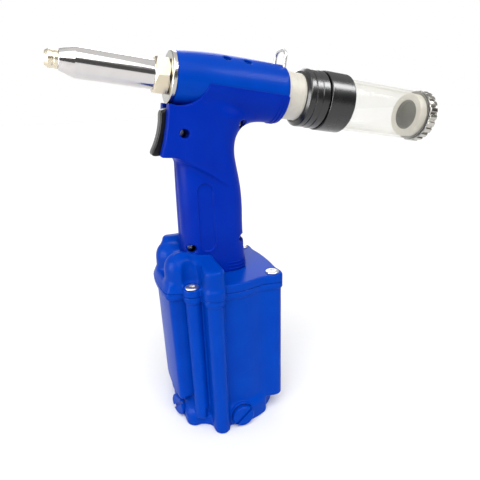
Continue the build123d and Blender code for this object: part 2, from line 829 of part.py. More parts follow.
with BuildPart() as front_gland_seal:
    revolve(gland_seal_outline(barrel_front_wall, front_gland_end), axis=head_axis)
front_gland_seal.part.label = "front_gland_seal"
export_step(front_gland_seal.part, "parts/front_gland_seal.step")

with BuildPart() as rear_gland:
    revolve(gland_outline(rear_gland_front, rear_gland_back), axis=head_axis)
rear_gland.part.label = "rear_gland"
export_step(rear_gland.part, "parts/rear_gland.step")

with BuildPart() as rear_gland_seal:
    revolve(gland_seal_outline(rear_gland_front, rear_gland_back), axis=head_axis)
rear_gland_seal.part.label = "rear_gland_seal"
export_step(rear_gland_seal.part, "parts/rear_gland_seal.step")

# Pulling group: piston, two seals, jaw case, three jaws, their pusher and springs
jaw_start = nose_hole + jaw_case_gap
jaw_end = jaw_start + jaw_case_length
pull_start = jaw_end - thread_length
pull_edge = barrel_bore - running_fit
pull_back = pull_rest + pull_head
seal_stations = [pull_rest + pull_head / 4, pull_rest + 3 * pull_head / 4]

with BuildPart() as pull_piston:
    revolve(tube_outline(pull_start, pull_back + pull_tail, pull_bore, pull_rod_radius), axis=head_axis)
    revolve(tube_outline(pull_rest, pull_back, pull_bore, pull_edge), axis=head_axis)
    for station in seal_stations:
        revolve(tube_outline(station - piston_seal_width / 2, station + piston_seal_width / 2,
                             pull_edge - piston_seal_depth, pull_edge + free_gap),
                axis=head_axis, mode=Mode.SUBTRACT)
pull_piston.part.label = "pull_piston"
export_step(pull_piston.part, "parts/pull_piston.step")

with BuildPart() as pull_piston_seals:
    for station in seal_stations:
        half = piston_seal_width / 2 - press_gap
        revolve(tube_outline(station - half, station + half, pull_edge - piston_seal_depth + press_gap,
                             barrel_bore - running_fit / 2), axis=head_axis)
pull_piston_seals.part.label = "pull_piston_seals"
export_step(pull_piston_seals.part, "parts/pull_piston_seals.step")

with BuildPart() as return_spring:
    coil = pull_rod_radius + spring_clearance
    revolve(tube_outline(pull_back, rear_gland_front, coil, coil + return_spring_wire), axis=head_axis)
return_spring.part.label = "return_spring"
export_step(return_spring.part, "parts/return_spring.step")

with BuildPart() as jaw_case:
    revolve(turned((jaw_start, jaw_case_mouth), (jaw_start + jaw_case_front, jaw_room),
                   (jaw_end, jaw_room), (jaw_end, jaw_case_edge), (jaw_start, jaw_case_edge)),
            axis=head_axis)
jaw_case.part.label = "jaw_case"
export_step(jaw_case.part, "parts/jaw_case.step")

jaw_front = nose_front + nosepiece_lip + free_gap
jaw_back = jaw_front + jaw_length
jaw_slope = (jaw_room - jaw_case_mouth) / jaw_case_front

with BuildPart() as jaws:
    front_edge = jaw_case_mouth + jaw_slope * (jaw_front - jaw_start) - press_gap
    revolve(turned((jaw_front, jaw_grip_radius), (jaw_back, jaw_grip_radius),
                   (jaw_back, jaw_room - press_gap), (jaw_start + jaw_case_front, jaw_room - press_gap),
                   (jaw_front, front_edge)), axis=head_axis)
    with BuildSketch(head_plane(jaw_front)):
        with PolarLocations(jaw_room / 2, 3):
            Rectangle(jaw_room + free_gap, jaw_gap)
    extrude(amount=jaw_length, mode=Mode.SUBTRACT)
jaws.part.label = "jaws"
export_step(jaws.part, "parts/jaws.step")

with BuildPart() as jaw_pusher:
    revolve(tube_outline(jaw_back, jaw_back + pusher_length, pull_bore, jaw_room - running_fit),
            axis=head_axis)
jaw_pusher.part.label = "jaw_pusher"
export_step(jaw_pusher.part, "parts/jaw_pusher.step")

with BuildPart() as jaw_spring:
    coil = jaw_room - running_fit
    revolve(tube_outline(jaw_back + pusher_length, pull_start, coil - jaw_spring_wire, coil),
            axis=head_axis)
jaw_spring.part.label = "jaw_spring"
export_step(jaw_spring.part, "parts/jaw_spring.step")

# Collector for the spent mandrels: adapter, valve ring, collar, clear tube and fluted cap
ring_start = barrel_length + adapter_show
ring_end = ring_start + ring_length
collar_start = ring_end + joint_groove
collar_end = collar_start + collector_length
tube_start = collar_end - tube_seat
tube_end = tube_start + tube_length
cap_start = tube_end + cap_seal_thickness
cap_end = cap_start + cap_length
tube_bore = tube_radius - tube_wall

with BuildPart() as collector_adapter:
    revolve(turned((rear_gland_back, adapter_bore), (collar_start + adapter_tail, adapter_bore),
                   (collar_start + adapter_tail, adapter_radius), (barrel_length, adapter_radius),
                   (barrel_length, barrel_bore - press_gap), (rear_gland_back, barrel_bore - press_gap)),
            axis=head_axis)
collector_adapter.part.label = "collector_adapter"
export_step(collector_adapter.part, "parts/collector_adapter.step")

with BuildPart() as valve_ring:
    waist_end = ring_end - ring_lip
    waist_start = waist_end - ring_waist_length
    revolve(turned((ring_start, adapter_radius + running_fit), (ring_start, ring_radius - ring_chamfer),
                   (ring_start + ring_chamfer, ring_radius), (waist_start - ring_waist, ring_radius),
                   (waist_start, ring_radius - ring_waist), (waist_end, ring_radius - ring_waist),
                   (ring_end, ring_radius), (ring_end, adapter_radius + running_fit)), axis=head_axis)
valve_ring.part.label = "valve_ring"
export_step(valve_ring.part, "parts/valve_ring.step")

with BuildPart() as collector_collar:
    web_start = collar_start + adapter_tail + free_gap
    revolve(turned((collar_start, adapter_radius + running_fit), (web_start, adapter_radius + running_fit),
                   (web_start, collector_web), (tube_start, collector_web),
                   (tube_start, tube_radius + press_gap), (collar_end, tube_radius + press_gap),
                   (collar_end, collector_radius - collector_round / 2),
                   (collar_end - collector_round, collector_radius),
                   (collar_start + collector_round, collector_radius),
                   (collar_start, collector_radius - collector_round)), axis=head_axis)
collector_collar.part.label = "collector_collar"
export_step(collector_collar.part, "parts/collector_collar.step")

with BuildPart() as collector_tube:
    revolve(tube_outline(tube_start, tube_end, tube_bore, tube_radius), axis=head_axis)
collector_tube.part.label = "collector_tube"
export_step(collector_tube.part, "parts/collector_tube.step")

with BuildPart() as cap_seal:
    revolve(tube_outline(tube_end, cap_start, tube_bore, tube_radius), axis=head_axis)
cap_seal.part.label = "cap_seal"
export_step(cap_seal.part, "parts/cap_seal.step")

with BuildPart() as collector_cap:
    spigot_start = cap_start - cap_spigot
    spigot_edge = tube_bore - running_fit
    revolve(turned((spigot_start, cap_recess_radius), (spigot_start, spigot_edge),
                   (cap_start, spigot_edge), (cap_start, cap_radius), (cap_end - cap_edge, cap_radius),
                   (cap_end, cap_radius - cap_edge), (cap_end, 0),
                   (spigot_start + cap_recess_depth, 0),
                   (spigot_start + cap_recess_depth, cap_recess_radius)), axis=head_axis)
    with BuildSketch(head_plane(cap_start)):
        with PolarLocations(cap_radius + cap_flute_radius / 2, cap_flutes):
            Circle(cap_flute_radius)
    extrude(amount=cap_length, mode=Mode.SUBTRACT)
collector_cap.part.label = "collector_cap"
export_step(collector_cap.part, "parts/collector_cap.step")

# Handle: grip with a swept neck, trigger housing and a thin cradle under the barrel
lean = math.radians(grip_lean)
pivot_z = head_z - trigger_pivot_drop
valve_z = pivot_z - valve_drop
cradle_edge = barrel_radius + cradle_wall


def grip_rear(height):
    """X of the grip's leaning rear line at a height."""
    return grip_foot - (height - deck) * math.tan(lean)


neck_drop = head_z - cradle_edge * head_cos - deck
neck_station = ((grip_foot - neck_drop * math.tan(lean) - head_x + cradle_edge * head_sin)
                / (head_cos - head_sin * math.tan(lean)))
neck_corner = Vector(*head_point(neck_station, -cradle_edge))
neck_turn = math.radians(head_tilt - neck_rise)
down = Vector(math.sin(lean), -math.cos(lean))
back = Vector(math.cos(neck_turn), -math.sin(neck_turn))
between = (down + back).normalized()
neck_half = math.acos(down.dot(back)) / 2
neck_low = neck_corner + down * (neck_round / math.tan(neck_half))
neck_high = neck_corner + back * (neck_round / math.tan(neck_half))
neck_mid = neck_corner + between * (neck_round / math.sin(neck_half) - neck_round)
grip_half = grip_thickness / 2

with BuildPart() as grip_block:
    with BuildSketch(Plane.XZ):
        with BuildLine():
            Line((grip_foot, deck), neck_low)
            ThreePointArc(neck_low, neck_mid, neck_high)
            Polyline(neck_high, head_point(barrel_length - neck_round, -barrel_bore),
                     head_point(cradle_scoop, -barrel_bore), (grip_front, pivot_z),
                     (grip_front, deck), (grip_foot, deck))
        make_face()
    extrude(amount=grip_half, both=True)
    round_spots = [(grip_front, (deck + pivot_z) / 2), (neck_mid.X, neck_mid.Y),
                   ((grip_foot + neck_low.X) / 2, (deck + neck_low.Y) / 2)]
    fillet(edges_near(grip_block, *[(x, y, z) for x, z in round_spots for y in (-grip_half, grip_half)]),
           grip_round)

housing_top = head_z - housing_top_below
housing_low = housing_top - housing_height
housing_half = housing_width / 2
housing_back = grip_front + grip_round + housing_depth

with BuildPart() as housing_block:
    with BuildSketch(Plane.XZ):
        with BuildLine():
            Polyline((housing_top_x, housing_top), (housing_low_x, housing_low),
                     (housing_back, housing_low - housing_slope), (housing_back, housing_top), close=True)
        make_face()
    extrude(amount=housing_half, both=True)
    front_mid = ((housing_top_x + housing_low_x) / 2, (housing_top + housing_low) / 2)
    low_mid = ((housing_low_x + housing_back) / 2, housing_low - housing_slope / 2)
    fillet(edges_near(housing_block, (housing_low_x, 0, housing_low),
                      *[(x, y, z) for x, z in (front_mid, low_mid) for y in (-housing_half, housing_half)]),
           housing_edge)

with BuildPart() as cradle:
    revolve(barrel_outline(0, cradle_wall, barrel_length), axis=head_axis)
    with BuildSketch(head_profile):
        with BuildLine():
            Polyline((cradle_start, -cradle_drop), (barrel_length, -cradle_drop),
                     (barrel_length, -2 * barrel_radius), (cradle_scoop, -2 * barrel_radius),
                     (cradle_scoop, -barrel_front_radius), close=True)
        make_face()
    extrude(amount=2 * barrel_radius, both=True, mode=Mode.INTERSECT)

# Screws through the grip, seen from the side as (x, height)
neck_screw = (neck_corner.X + neck_screw_reach, head_z - neck_screw_drop)
screw_spots = [(grip_front + front_screw_inset, head_z - upper_screw_drop),
               (grip_front + front_screw_inset, deck + lower_screw_rise), neck_screw,
               (grip_rear(deck + rear_screw_rise) - rear_screw_inset, deck + rear_screw_rise)]
cavity_top = oil_top + cavity_over

with BuildPart() as grip_cavity:
    with BuildSketch(Plane.XZ):
        with BuildLine():
            Polyline((grip_front + grip_wall, deck), (grip_front + grip_wall, cavity_top),
                     (grip_rear(cavity_top) - grip_wall, cavity_top), (grip_foot - grip_wall, deck),
                     close=True)
        make_face()
    extrude(amount=grip_half - grip_wall, both=True)
    cavity_mid = (deck + cavity_top) / 2
    fillet(edges_near(grip_cavity, *[(x, y, cavity_mid)
                                     for x in (grip_front + grip_wall, grip_rear(cavity_mid) - grip_wall)
                                     for y in (grip_wall - grip_half, grip_half - grip_wall)]),
           grip_round - grip_wall)
    with BuildSketch(Plane.XZ):
        with Locations(*screw_spots):
            Circle(grip_boss_radius)
    extrude(amount=grip_half, both=True, mode=Mode.SUBTRACT)

slot_x = trigger_pivot_x + trigger_slot_back
slot_open = housing_low_x - trigger_low_reach
eye_room = trigger_eye + free_gap
slot_low = pivot_z + trigger_top_rise - trigger_height - trigger_slot_gap

with BuildPart() as handle:
    add(grip_block.part)
    add(housing_block.part)
    add(cradle.part)
    add(grip_cavity.part, mode=Mode.SUBTRACT)
    revolve(barrel_outline(0, seat_gap, 2 * barrel_length), axis=head_axis, mode=Mode.SUBTRACT)
    revolve(tube_outline(-collar_thickness - free_gap, free_gap, 0, collar_radius + free_gap),
            axis=head_axis, mode=Mode.SUBTRACT)
    with BuildSketch(Plane.XY.offset(deck)):
        Circle(oil_radius + free_gap)
    extrude(amount=cavity_top - deck, mode=Mode.SUBTRACT)
    with BuildSketch(Plane.XY.offset(deck)):
        Circle(oil_pipe_radius + seat_gap)
    extrude(amount=head_z - deck, mode=Mode.SUBTRACT)
    with BuildSketch(Plane.XY.offset(deck)):
        with Locations((air_pipe_x, 0)):
            Circle(air_pipe_radius + seat_gap)
    extrude(amount=valve_z - deck, mode=Mode.SUBTRACT)
    with BuildSketch(Plane.XZ):
        with BuildLine():
            Polyline((slot_open, slot_low), (slot_x, slot_low), (slot_x, pivot_z - eye_room),
                     (trigger_pivot_x + eye_room, pivot_z - eye_room),
                     (trigger_pivot_x + eye_room, pivot_z + eye_room), (slot_open, pivot_z + eye_room),
                     close=True)
        make_face()
    extrude(amount=trigger_width / 2 + trigger_side_gap, both=True, mode=Mode.SUBTRACT)
    with BuildSketch(Plane.XZ):
        with Locations((trigger_pivot_x, pivot_z)):
            Circle(trigger_pin_radius + press_gap)
    extrude(amount=trigger_pin_reach, both=True, mode=Mode.SUBTRACT)
    with BuildSketch(Plane.YZ.offset(slot_x)):
        with Locations((0, valve_z)):
            Circle(valve_radius + press_gap)
    extrude(amount=valve_length, mode=Mode.SUBTRACT)
    with BuildSketch(Plane.XZ.offset(grip_screw_seat)):
        with Locations(*screw_spots):
            Circle(grip_recess_radius)
    extrude(amount=grip_half, mode=Mode.SUBTRACT)
    with BuildSketch(Plane.XZ.offset(grip_screw_seat)):
        with Locations(*screw_spots):
            Circle(grip_screw_radius + press_gap)
    extrude(amount=-grip_screw_seat - grip_screw_end, mode=Mode.SUBTRACT)
    for side in (-1, 1):
        with BuildSketch(Plane.XZ.offset(side * (grip_half - panel_depth))):
            with Locations((panel_x, deck + panel_low + panel_length / 2)):
                SlotOverall(panel_length, panel_width, rotation=90)
        extrude(amount=side * grip_half, mode=Mode.SUBTRACT)

with BuildPart() as handle_left:
    add(handle.part)
    split(bisect_by=Plane.XZ, keep=Keep.TOP)
handle_left.part.label = "handle_left"
export_step(handle_left.part, "parts/handle_left.step")

with BuildPart() as handle_right:
    add(handle.part)
    split(bisect_by=Plane.XZ, keep=Keep.BOTTOM)
handle_right.part.label = "handle_right"
export_step(handle_right.part, "parts/handle_right.step")

with BuildPart() as handle_screws:
    with BuildSketch(Plane.XZ.offset(grip_screw_seat)):
        with Locations(*screw_spots):
            Circle(grip_screw_radius)
    extrude(amount=-grip_screw_seat - grip_screw_end)
    with BuildSketch(Plane.XZ.offset(grip_screw_seat)):
        with Locations(*screw_spots):
            Circle(grip_screw_head)
    extrude(amount=grip_screw_head_height)
    with BuildSketch(Plane.XZ.offset(grip_screw_seat + grip_screw_head_height)):
        with Locations(*screw_spots):
            RegularPolygon(grip_socket / 2, 6, major_radius=False)
    extrude(amount=-grip_screw_head_height / 2, mode=Mode.SUBTRACT)
handle_screws.part.label = "handle_screws"
export_step(handle_screws.part, "parts/handle_screws.step")

# Trigger on its pin, and the air valve that it pushes
trigger_high = pivot_z + trigger_top_rise
trigger_low = trigger_high - trigger_height
trigger_front_mid = (trigger_pivot_x - (trigger_top_reach + trigger_low_reach) / 2 + trigger_sag,
                     (trigger_high + trigger_low) / 2)

with BuildPart() as trigger:
    with BuildSketch(Plane.XZ):
        with BuildLine():
            ThreePointArc((trigger_pivot_x - trigger_top_reach, trigger_high), trigger_front_mid,
                          (trigger_pivot_x - trigger_low_reach, trigger_low))
            Polyline((trigger_pivot_x - trigger_low_reach, trigger_low),
                     (trigger_pivot_x - trigger_back, trigger_low),
                     (trigger_pivot_x - trigger_back, pivot_z - trigger_eye),
                     (trigger_pivot_x, pivot_z - trigger_eye), (trigger_pivot_x, pivot_z + trigger_eye),
                     (trigger_pivot_x - trigger_top_reach, trigger_high))
        make_face()
        with Locations((trigger_pivot_x, pivot_z)):
            Circle(trigger_eye)
    extrude(amount=trigger_width / 2, both=True)
    fillet(edges_near(trigger, *[(trigger_front_mid[0], y, trigger_front_mid[1])
                                 for y in (-trigger_width / 2, trigger_width / 2)]), trigger_edge)
    with BuildSketch(Plane.XZ):
        with Locations((trigger_pivot_x, pivot_z)):
            Circle(trigger_pin_radius + running_fit)
    extrude(amount=trigger_width, both=True, mode=Mode.SUBTRACT)
trigger.part.label = "trigger"
export_step(trigger.part, "parts/trigger.step")

with BuildPart() as trigger_pin:
    with BuildSketch(Plane.XZ):
        with Locations((trigger_pivot_x, pivot_z)):
            Circle(trigger_pin_radius)
    extrude(amount=trigger_pin_reach, both=True)
trigger_pin.part.label = "trigger_pin"
export_step(trigger_pin.part, "parts/trigger_pin.step")


def valve_outline(*points):
    """Closed outline of (distance behind the valve's mouth, radius) points."""
    with BuildSketch(Plane.XZ) as outline:
        with BuildLine():
            Polyline(*[(slot_x + along, valve_z + radius) for along, radius in points], close=True)
        make_face()
    return outline.sketch


valve_axis = Axis((0, 0, valve_z), (1, 0, 0))
valve_room = valve_radius - valve_wall
valve_wall_start = valve_length - valve_end_wall
stem_tip = trigger_pivot_x - trigger_back + stem_tip_gap - slot_x
stem_back = valve_front + stem_head_length

with BuildPart() as valve_sleeve:
    revolve(valve_outline((0, stem_radius + running_fit), (0, valve_radius), (valve_length, valve_radius),
                          (valve_length, valve_vent), (valve_wall_start, valve_vent),
                          (valve_wall_start, valve_room), (valve_front, valve_room),
                          (valve_front, stem_radius + running_fit)), axis=valve_axis)
    with BuildSketch(Plane.XY.offset(valve_z - valve_radius)):
        with Locations((air_pipe_x, 0)):
            Circle(air_pipe_bore)
    extrude(amount=valve_radius, mode=Mode.SUBTRACT)
valve_sleeve.part.label = "valve_sleeve"
export_step(valve_sleeve.part, "parts/valve_sleeve.step")

with BuildPart() as valve_stem:
    revolve(valve_outline((stem_tip, 0), (stem_tip, stem_radius), (valve_front, stem_radius),
                          (valve_front, valve_room - running_fit), (stem_back, valve_room - running_fit),
                          (stem_back, 0)), axis=valve_axis)
valve_stem.part.label = "valve_stem"
export_step(valve_stem.part, "parts/valve_stem.step")

with BuildPart() as valve_spring:
    coil = valve_room - running_fit
    revolve(valve_outline((stem_back, coil - valve_spring_wire), (stem_back, coil),
                          (valve_wall_start, coil), (valve_wall_start, coil - valve_spring_wire)),
            axis=valve_axis)
valve_spring.part.label = "valve_spring"
export_step(valve_spring.part, "parts/valve_spring.step")

with BuildPart() as air_pipe:
    with BuildSketch(Plane.XY.offset(deck - air_pipe_seat)):
        with Locations((air_pipe_x, 0)):
            Circle(air_pipe_radius)
            Circle(air_pipe_bore, mode=Mode.SUBTRACT)
    extrude(amount=valve_z - valve_radius - press_gap - deck + air_pipe_seat)
air_pipe.part.label = "air_pipe"
export_step(air_pipe.part, "parts/air_pipe.step")
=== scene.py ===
# %% [markdown]
# # Dressing an air-hydraulic blind riveter
# The tool stands on a cylinder base. A slim grip rises from it to a tilted head with a chromed nose in
# front and a clear collector for spent mandrels behind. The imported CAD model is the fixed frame: each
# piece made here takes its place from it, in the same axes (+Z up, nose towards -X).

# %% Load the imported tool
import json
import math

import bmesh
import bpy
import numpy as np
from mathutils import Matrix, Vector


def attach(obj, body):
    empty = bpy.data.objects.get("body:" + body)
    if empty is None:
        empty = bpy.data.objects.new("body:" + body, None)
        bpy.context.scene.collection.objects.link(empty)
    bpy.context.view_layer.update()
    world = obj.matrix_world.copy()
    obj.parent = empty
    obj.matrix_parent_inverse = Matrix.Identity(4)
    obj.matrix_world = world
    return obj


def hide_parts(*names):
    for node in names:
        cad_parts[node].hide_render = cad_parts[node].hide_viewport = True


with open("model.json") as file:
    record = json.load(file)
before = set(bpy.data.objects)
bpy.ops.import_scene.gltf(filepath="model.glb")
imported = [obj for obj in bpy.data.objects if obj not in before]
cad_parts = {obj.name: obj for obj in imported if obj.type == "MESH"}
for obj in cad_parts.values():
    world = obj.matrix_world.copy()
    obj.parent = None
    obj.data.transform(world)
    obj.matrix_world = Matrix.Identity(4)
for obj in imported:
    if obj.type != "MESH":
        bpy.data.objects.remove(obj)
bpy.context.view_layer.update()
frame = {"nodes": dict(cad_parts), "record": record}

nodes = frame["nodes"]
MM = 0.001

# %% [markdown]
# ## Finishes as short sums
# A finish is a small net of shader nodes. Wiring it link by link hides the idea, so a socket is wrapped
# in a class with operators: `1 - mask` or `rings * 0.3` adds the Math node itself. Every other node comes
# from one method, which takes the node's type, its settings and what goes into its sockets.

# %% A socket that can be added and multiplied
class Wire:
    """One output socket. Sums and products of wires add Math nodes to its tree."""

    def __init__(self, socket):
        self.socket = socket

    @staticmethod
    def make(tree, kind, settings=None, values=None, out=0):
        """Adds any node: its settings first, then a value or a wire for each named socket."""
        node = tree.nodes.new(kind)
        for name, value in (settings or {}).items():
            if name == "stops":
                ramp = node.color_ramp.elements
                while len(ramp) < len(value):
                    ramp.new(0.5)
                for stop, (place, colour) in zip(ramp, value):
                    stop.position = place
                    stop.color = colour
            else:
                setattr(node, name, value)
        for name, value in (values or {}).items():
            plug(node.inputs[name], value)
        return Wire(node.outputs[out])

    def node(self, kind, settings=None, values=None, out=0):
        """The same, in the tree that this wire belongs to."""
        return Wire.make(self.socket.id_data, kind, settings, values, out)

    def sum(self, operation, first, second=0.0):
        return self.node("ShaderNodeMath", {"operation": operation}, {0: first, 1: second})

    def __add__(self, other):
        return self.sum("ADD", self, other)

    def __sub__(self, other):
        return self.sum("SUBTRACT", self, other)

    def __rsub__(self, other):
        return self.sum("SUBTRACT", other, self)

    def __mul__(self, other):
        return self.sum("MULTIPLY", self, other)

    __radd__ = __add__
    __rmul__ = __mul__

    def sine(self):
        return self.sum("SINE", self)


def plug(socket, value):
    """Links a wire to a socket, or sets the socket's own value."""
    if isinstance(value, Wire):
        socket.id_data.links.new(value.socket, socket)
    else:
        socket.default_value = value


print("shader maths ready")

# %% [markdown]
# ## From sums to a finish
# A finish has two kinds of numbers. What is the same all over the surface sits on the shader's own
# sockets. What changes from place to place comes from a recipe, which gets the place in the piece's own
# coordinates and returns one wire for each socket. Three helpers cover most recipes: noise, a colour
# between two, and a bump.

# %% Recipes and their helpers
def finish(name, constants, recipe):
    """A material: constants sit on the shader's own sockets, the recipe feeds those that vary."""
    material = bpy.data.materials.new(name)
    material.use_nodes = True
    shader = material.node_tree.nodes["Principled BSDF"]
    for socket, value in constants.items():
        plug(shader.inputs[socket], value)
    place = Wire.make(material.node_tree, "ShaderNodeTexCoord", out="Object")
    for socket, value in recipe(place).items():
        plug(shader.inputs[socket], value)
    return material


def noise(place, per_metre, detail=2.0):
    """Even grey noise from 0 to 1, with about this many spots in a metre."""
    return place.node("ShaderNodeTexNoise", None, {"Vector": place, "Scale": per_metre, "Detail": detail})


def tint(factor, low, high):
    """A colour between two, by a wire from 0 to 1."""
    return factor.node("ShaderNodeMix", {"data_type": "RGBA"},
                       {"Factor": factor, "A": (*low, 1.0), "B": (*high, 1.0)}, out="Result")


def bump(height, metres):
    """A Normal from a height wire, where 1 stands this many metres proud."""
    return height.node("ShaderNodeBump", None, {"Height": height, "Distance": metres, "Strength": 1.0})


paint = {}
print("recipes ready")

# %% [markdown]
# ## The head's own axes
# The head leans 9.5 degrees, so its turned pieces are easier to give as stations along its axis and
# distances from it. Two short functions go from such numbers to the frame's x, y and z, and back.

# %% Head axes
HEAD_TILT = math.radians(9.5)
HEAD_X, HEAD_Z = -29.2, 274.5
HEAD_DIR = np.array([math.cos(HEAD_TILT), 0.0, -math.sin(HEAD_TILT)])
HEAD_UP = np.array([math.sin(HEAD_TILT), 0.0, math.cos(HEAD_TILT)])
ACROSS = np.array([0.0, 1.0, 0.0])
NOSE_TIP = -83.3


def head_point(station, side, up):
    """Points of the head in millimetres: along its axis to the rear, across, and up from it."""
    station, side, up = (np.asarray(v, float)[..., None] for v in (station, side, up))
    return np.array([HEAD_X, 0.0, HEAD_Z]) + station * HEAD_DIR + side * ACROSS + up * HEAD_UP


def head_station(x, z):
    """Station along the head's axis and height above it, of a point in millimetres."""
    return ((x - HEAD_X) * HEAD_DIR[0] + (z - HEAD_Z) * HEAD_DIR[2],
            (x - HEAD_X) * HEAD_UP[0] + (z - HEAD_Z) * HEAD_UP[2])


print("nose tip", head_point(NOSE_TIP, 0, 0).round(1))

# %% [markdown]
# ## Sprayed and moulded blue
# The castings wear a saturated blue coat. Up close it has a fine orange peel, and its gloss is a little
# uneven. Two noises do that: a fine one for the bump and a broad one for the tone and the roughness.
# The gloss itself is low, so that the blue stays deep under white light. The grip is moulded in a darker
# blue, with a finer grain.

# %% Blue finishes
PEEL_DEPTH, GLOSS_SPREAD = 0.00006, 0.16
BLUE_GLOSS = {"Specular IOR Level": 0.03, "Coat Weight": 0.02, "Coat Roughness": 0.1}


def sprayed(peel, patches, deep, light, rough):
    """A coat between two tones, with this many bumps of peel and patches of tone in a metre."""
    def recipe(place):
        broad = noise(place, patches, detail=3.0)
        fine = noise(place, peel)
        return {"Base Color": tint(broad, deep, light), "Roughness": rough + GLOSS_SPREAD * broad,
                "Normal": bump(fine, PEEL_DEPTH)}
    return recipe


paint["blue_paint"] = finish("blue enamel", BLUE_GLOSS, sprayed(
    peel=900.0, patches=45.0, deep=(0.0, 0.04, 0.38), light=(0.0, 0.059, 0.46), rough=0.24))
paint["blue_shell"] = finish("moulded blue", BLUE_GLOSS, sprayed(
    peel=1300.0, patches=40.0, deep=(0.0, 0.017, 0.33), light=(0.0, 0.03, 0.41), rough=0.3))
print("blue finishes", [paint[slot].name for slot in paint])

# %% [markdown]
# ## Turned metal
# A lathe leaves fine rings round a piece. Here the rings are a sine of the station along the head's axis,
# which a dot product of the place and the axis gives, so they stay square to it. The nose is chromed, the
# tip and its nut are plated a pale yellow, and the rings of the collector are a glossy black.

# %% Turned finishes
CLOUDS, TURNED_SPREAD = 120.0, 0.12
METAL = {"Metallic": 1.0}


def lathe_rings(place, per_metre):
    """Sine rings, from -1 to 1, square to the head's axis."""
    along = place.node("ShaderNodeVectorMath", {"operation": "DOT_PRODUCT"},
                       {0: place, 1: tuple(HEAD_DIR)}, out="Value")
    return (along * (2 * math.pi * per_metre)).sine()


def turned(dark, bright, rough, rings, depth):
    """A cloudy tone between two, with this many tool rings in a metre, so many metres deep."""
    def recipe(place):
        cloud = noise(place, CLOUDS, detail=4.0)
        return {"Base Color": tint(cloud, dark, bright), "Roughness": rough + TURNED_SPREAD * cloud,
                "Normal": bump(lathe_rings(place, rings), depth)}
    return recipe


paint["chrome"] = finish("polished chrome", METAL, turned(
    dark=(0.56, 0.54, 0.53), bright=(0.66, 0.64, 0.63), rough=0.05, rings=900.0, depth=0.000001))
paint["nickel"] = finish("turned nickel", METAL, turned(
    dark=(0.36, 0.35, 0.32), bright=(0.58, 0.56, 0.52), rough=0.14, rings=1100.0, depth=0.000004))
paint["yellow_zinc"] = finish("pale yellow zinc", METAL, turned(
    dark=(0.58, 0.5, 0.36), bright=(0.76, 0.69, 0.55), rough=0.2, rings=1000.0, depth=0.000003))
paint["black_gloss"] = finish("glossy black", {"Coat Weight": 0.22, "Coat Roughness": 0.22}, turned(
    dark=(0.004, 0.004, 0.005), bright=(0.01, 0.01, 0.011), rough=0.2, rings=1400.0, depth=0.000003))
print("turned finishes", len(paint))

# %% [markdown]
# ## Plastic, rubber and enamel
# The adapter is a cream plastic, turned like the metal but with deeper rings. The trigger is enamelled
# black and the rubber is plain and dull: both are the sprayed recipe again, with other tones.

# %% Cream, black enamel and rubber
ENAMEL_GLOSS = {"Specular IOR Level": 0.12, "Coat Weight": 0.07, "Coat Roughness": 0.06}
paint["black_enamel"] = finish("black enamel", ENAMEL_GLOSS, sprayed(
    peel=1100.0, patches=60.0, deep=(0.004, 0.004, 0.005), light=(0.012, 0.012, 0.013), rough=0.2))
paint["cream"] = finish("cream plastic", {}, turned(
    dark=(0.58, 0.54, 0.46), bright=(0.68, 0.65, 0.58), rough=0.4, rings=1250.0, depth=0.00004))
paint["rubber"] = finish("black rubber", {}, sprayed(
    peel=2500.0, patches=200.0, deep=(0.008, 0.008, 0.009), light=(0.02, 0.02, 0.02), rough=0.55))
print("finishes so far", len(paint))

# %% [markdown]
# ## Plain machined metal and the clear tube
# Screws and the inner steel, aluminium and brass show a fine scratched grain. The clear tube is nearly
# invisible face on and denser at its edges, because light crosses more of its wall there: a Layer Weight
# node gives that.

# %% Ground metal and clear plastic
GRAIN, GRAIN_DEPTH, GRAIN_SPREAD = 2200.0, 0.000012, 0.18
GRAIN_SCALE = (1.0, 1.0, 0.12)
CLEAR_FACE, CLEAR_EDGE, CLEAR_BLEND = 0.08, 0.6, 0.35
CLEAR_HAZE, CLEAR_ROUGH = 90.0, 0.06


def ground(dark, bright, rough):
    """Scratched metal between two tones, its grain drawn out along z."""
    def recipe(place):
        drawn_out = place.node("ShaderNodeMapping", None, {"Vector": place, "Scale": GRAIN_SCALE})
        grain = noise(drawn_out, GRAIN, detail=3.0)
        return {"Base Color": tint(grain, dark, bright), "Roughness": rough + GRAIN_SPREAD * grain,
                "Normal": bump(grain, GRAIN_DEPTH)}
    return recipe


def clear_plastic(place):
    """A faint haze that is clearer face on than at the edges."""
    edge = place.node("ShaderNodeLayerWeight", None, {"Blend": CLEAR_BLEND}, out="Facing")
    haze = noise(place, CLEAR_HAZE)
    return {"Base Color": tint(haze, (0.7, 0.68, 0.58), (0.8, 0.78, 0.69)),
            "Roughness": CLEAR_ROUGH + CLEAR_ROUGH * haze, "Alpha": CLEAR_FACE + CLEAR_EDGE * edge * edge}


paint["bright_steel"] = finish("bright zinc", METAL, ground(
    dark=(0.55, 0.54, 0.52), bright=(0.74, 0.73, 0.71), rough=0.28))
paint["plain_steel"] = finish("ground steel", METAL, ground(
    dark=(0.42, 0.42, 0.42), bright=(0.62, 0.62, 0.62), rough=0.26))
paint["plain_aluminium"] = finish("machined aluminium", METAL, ground(
    dark=(0.66, 0.67, 0.68), bright=(0.84, 0.84, 0.85), rough=0.28))
paint["brass"] = finish("turned brass", METAL, ground(
    dark=(0.6, 0.42, 0.16), bright=(0.8, 0.62, 0.3), rough=0.22))
paint["clear"] = finish("clear plastic", {"IOR": 1.49}, clear_plastic)
print("all finishes", sorted(paint))

# %% [markdown]
# ## Dress the CAD nodes
# Each node names a material slot in the record, so one loop gives every node its finish. A node that gets
# a finer piece later is replaced by that piece.

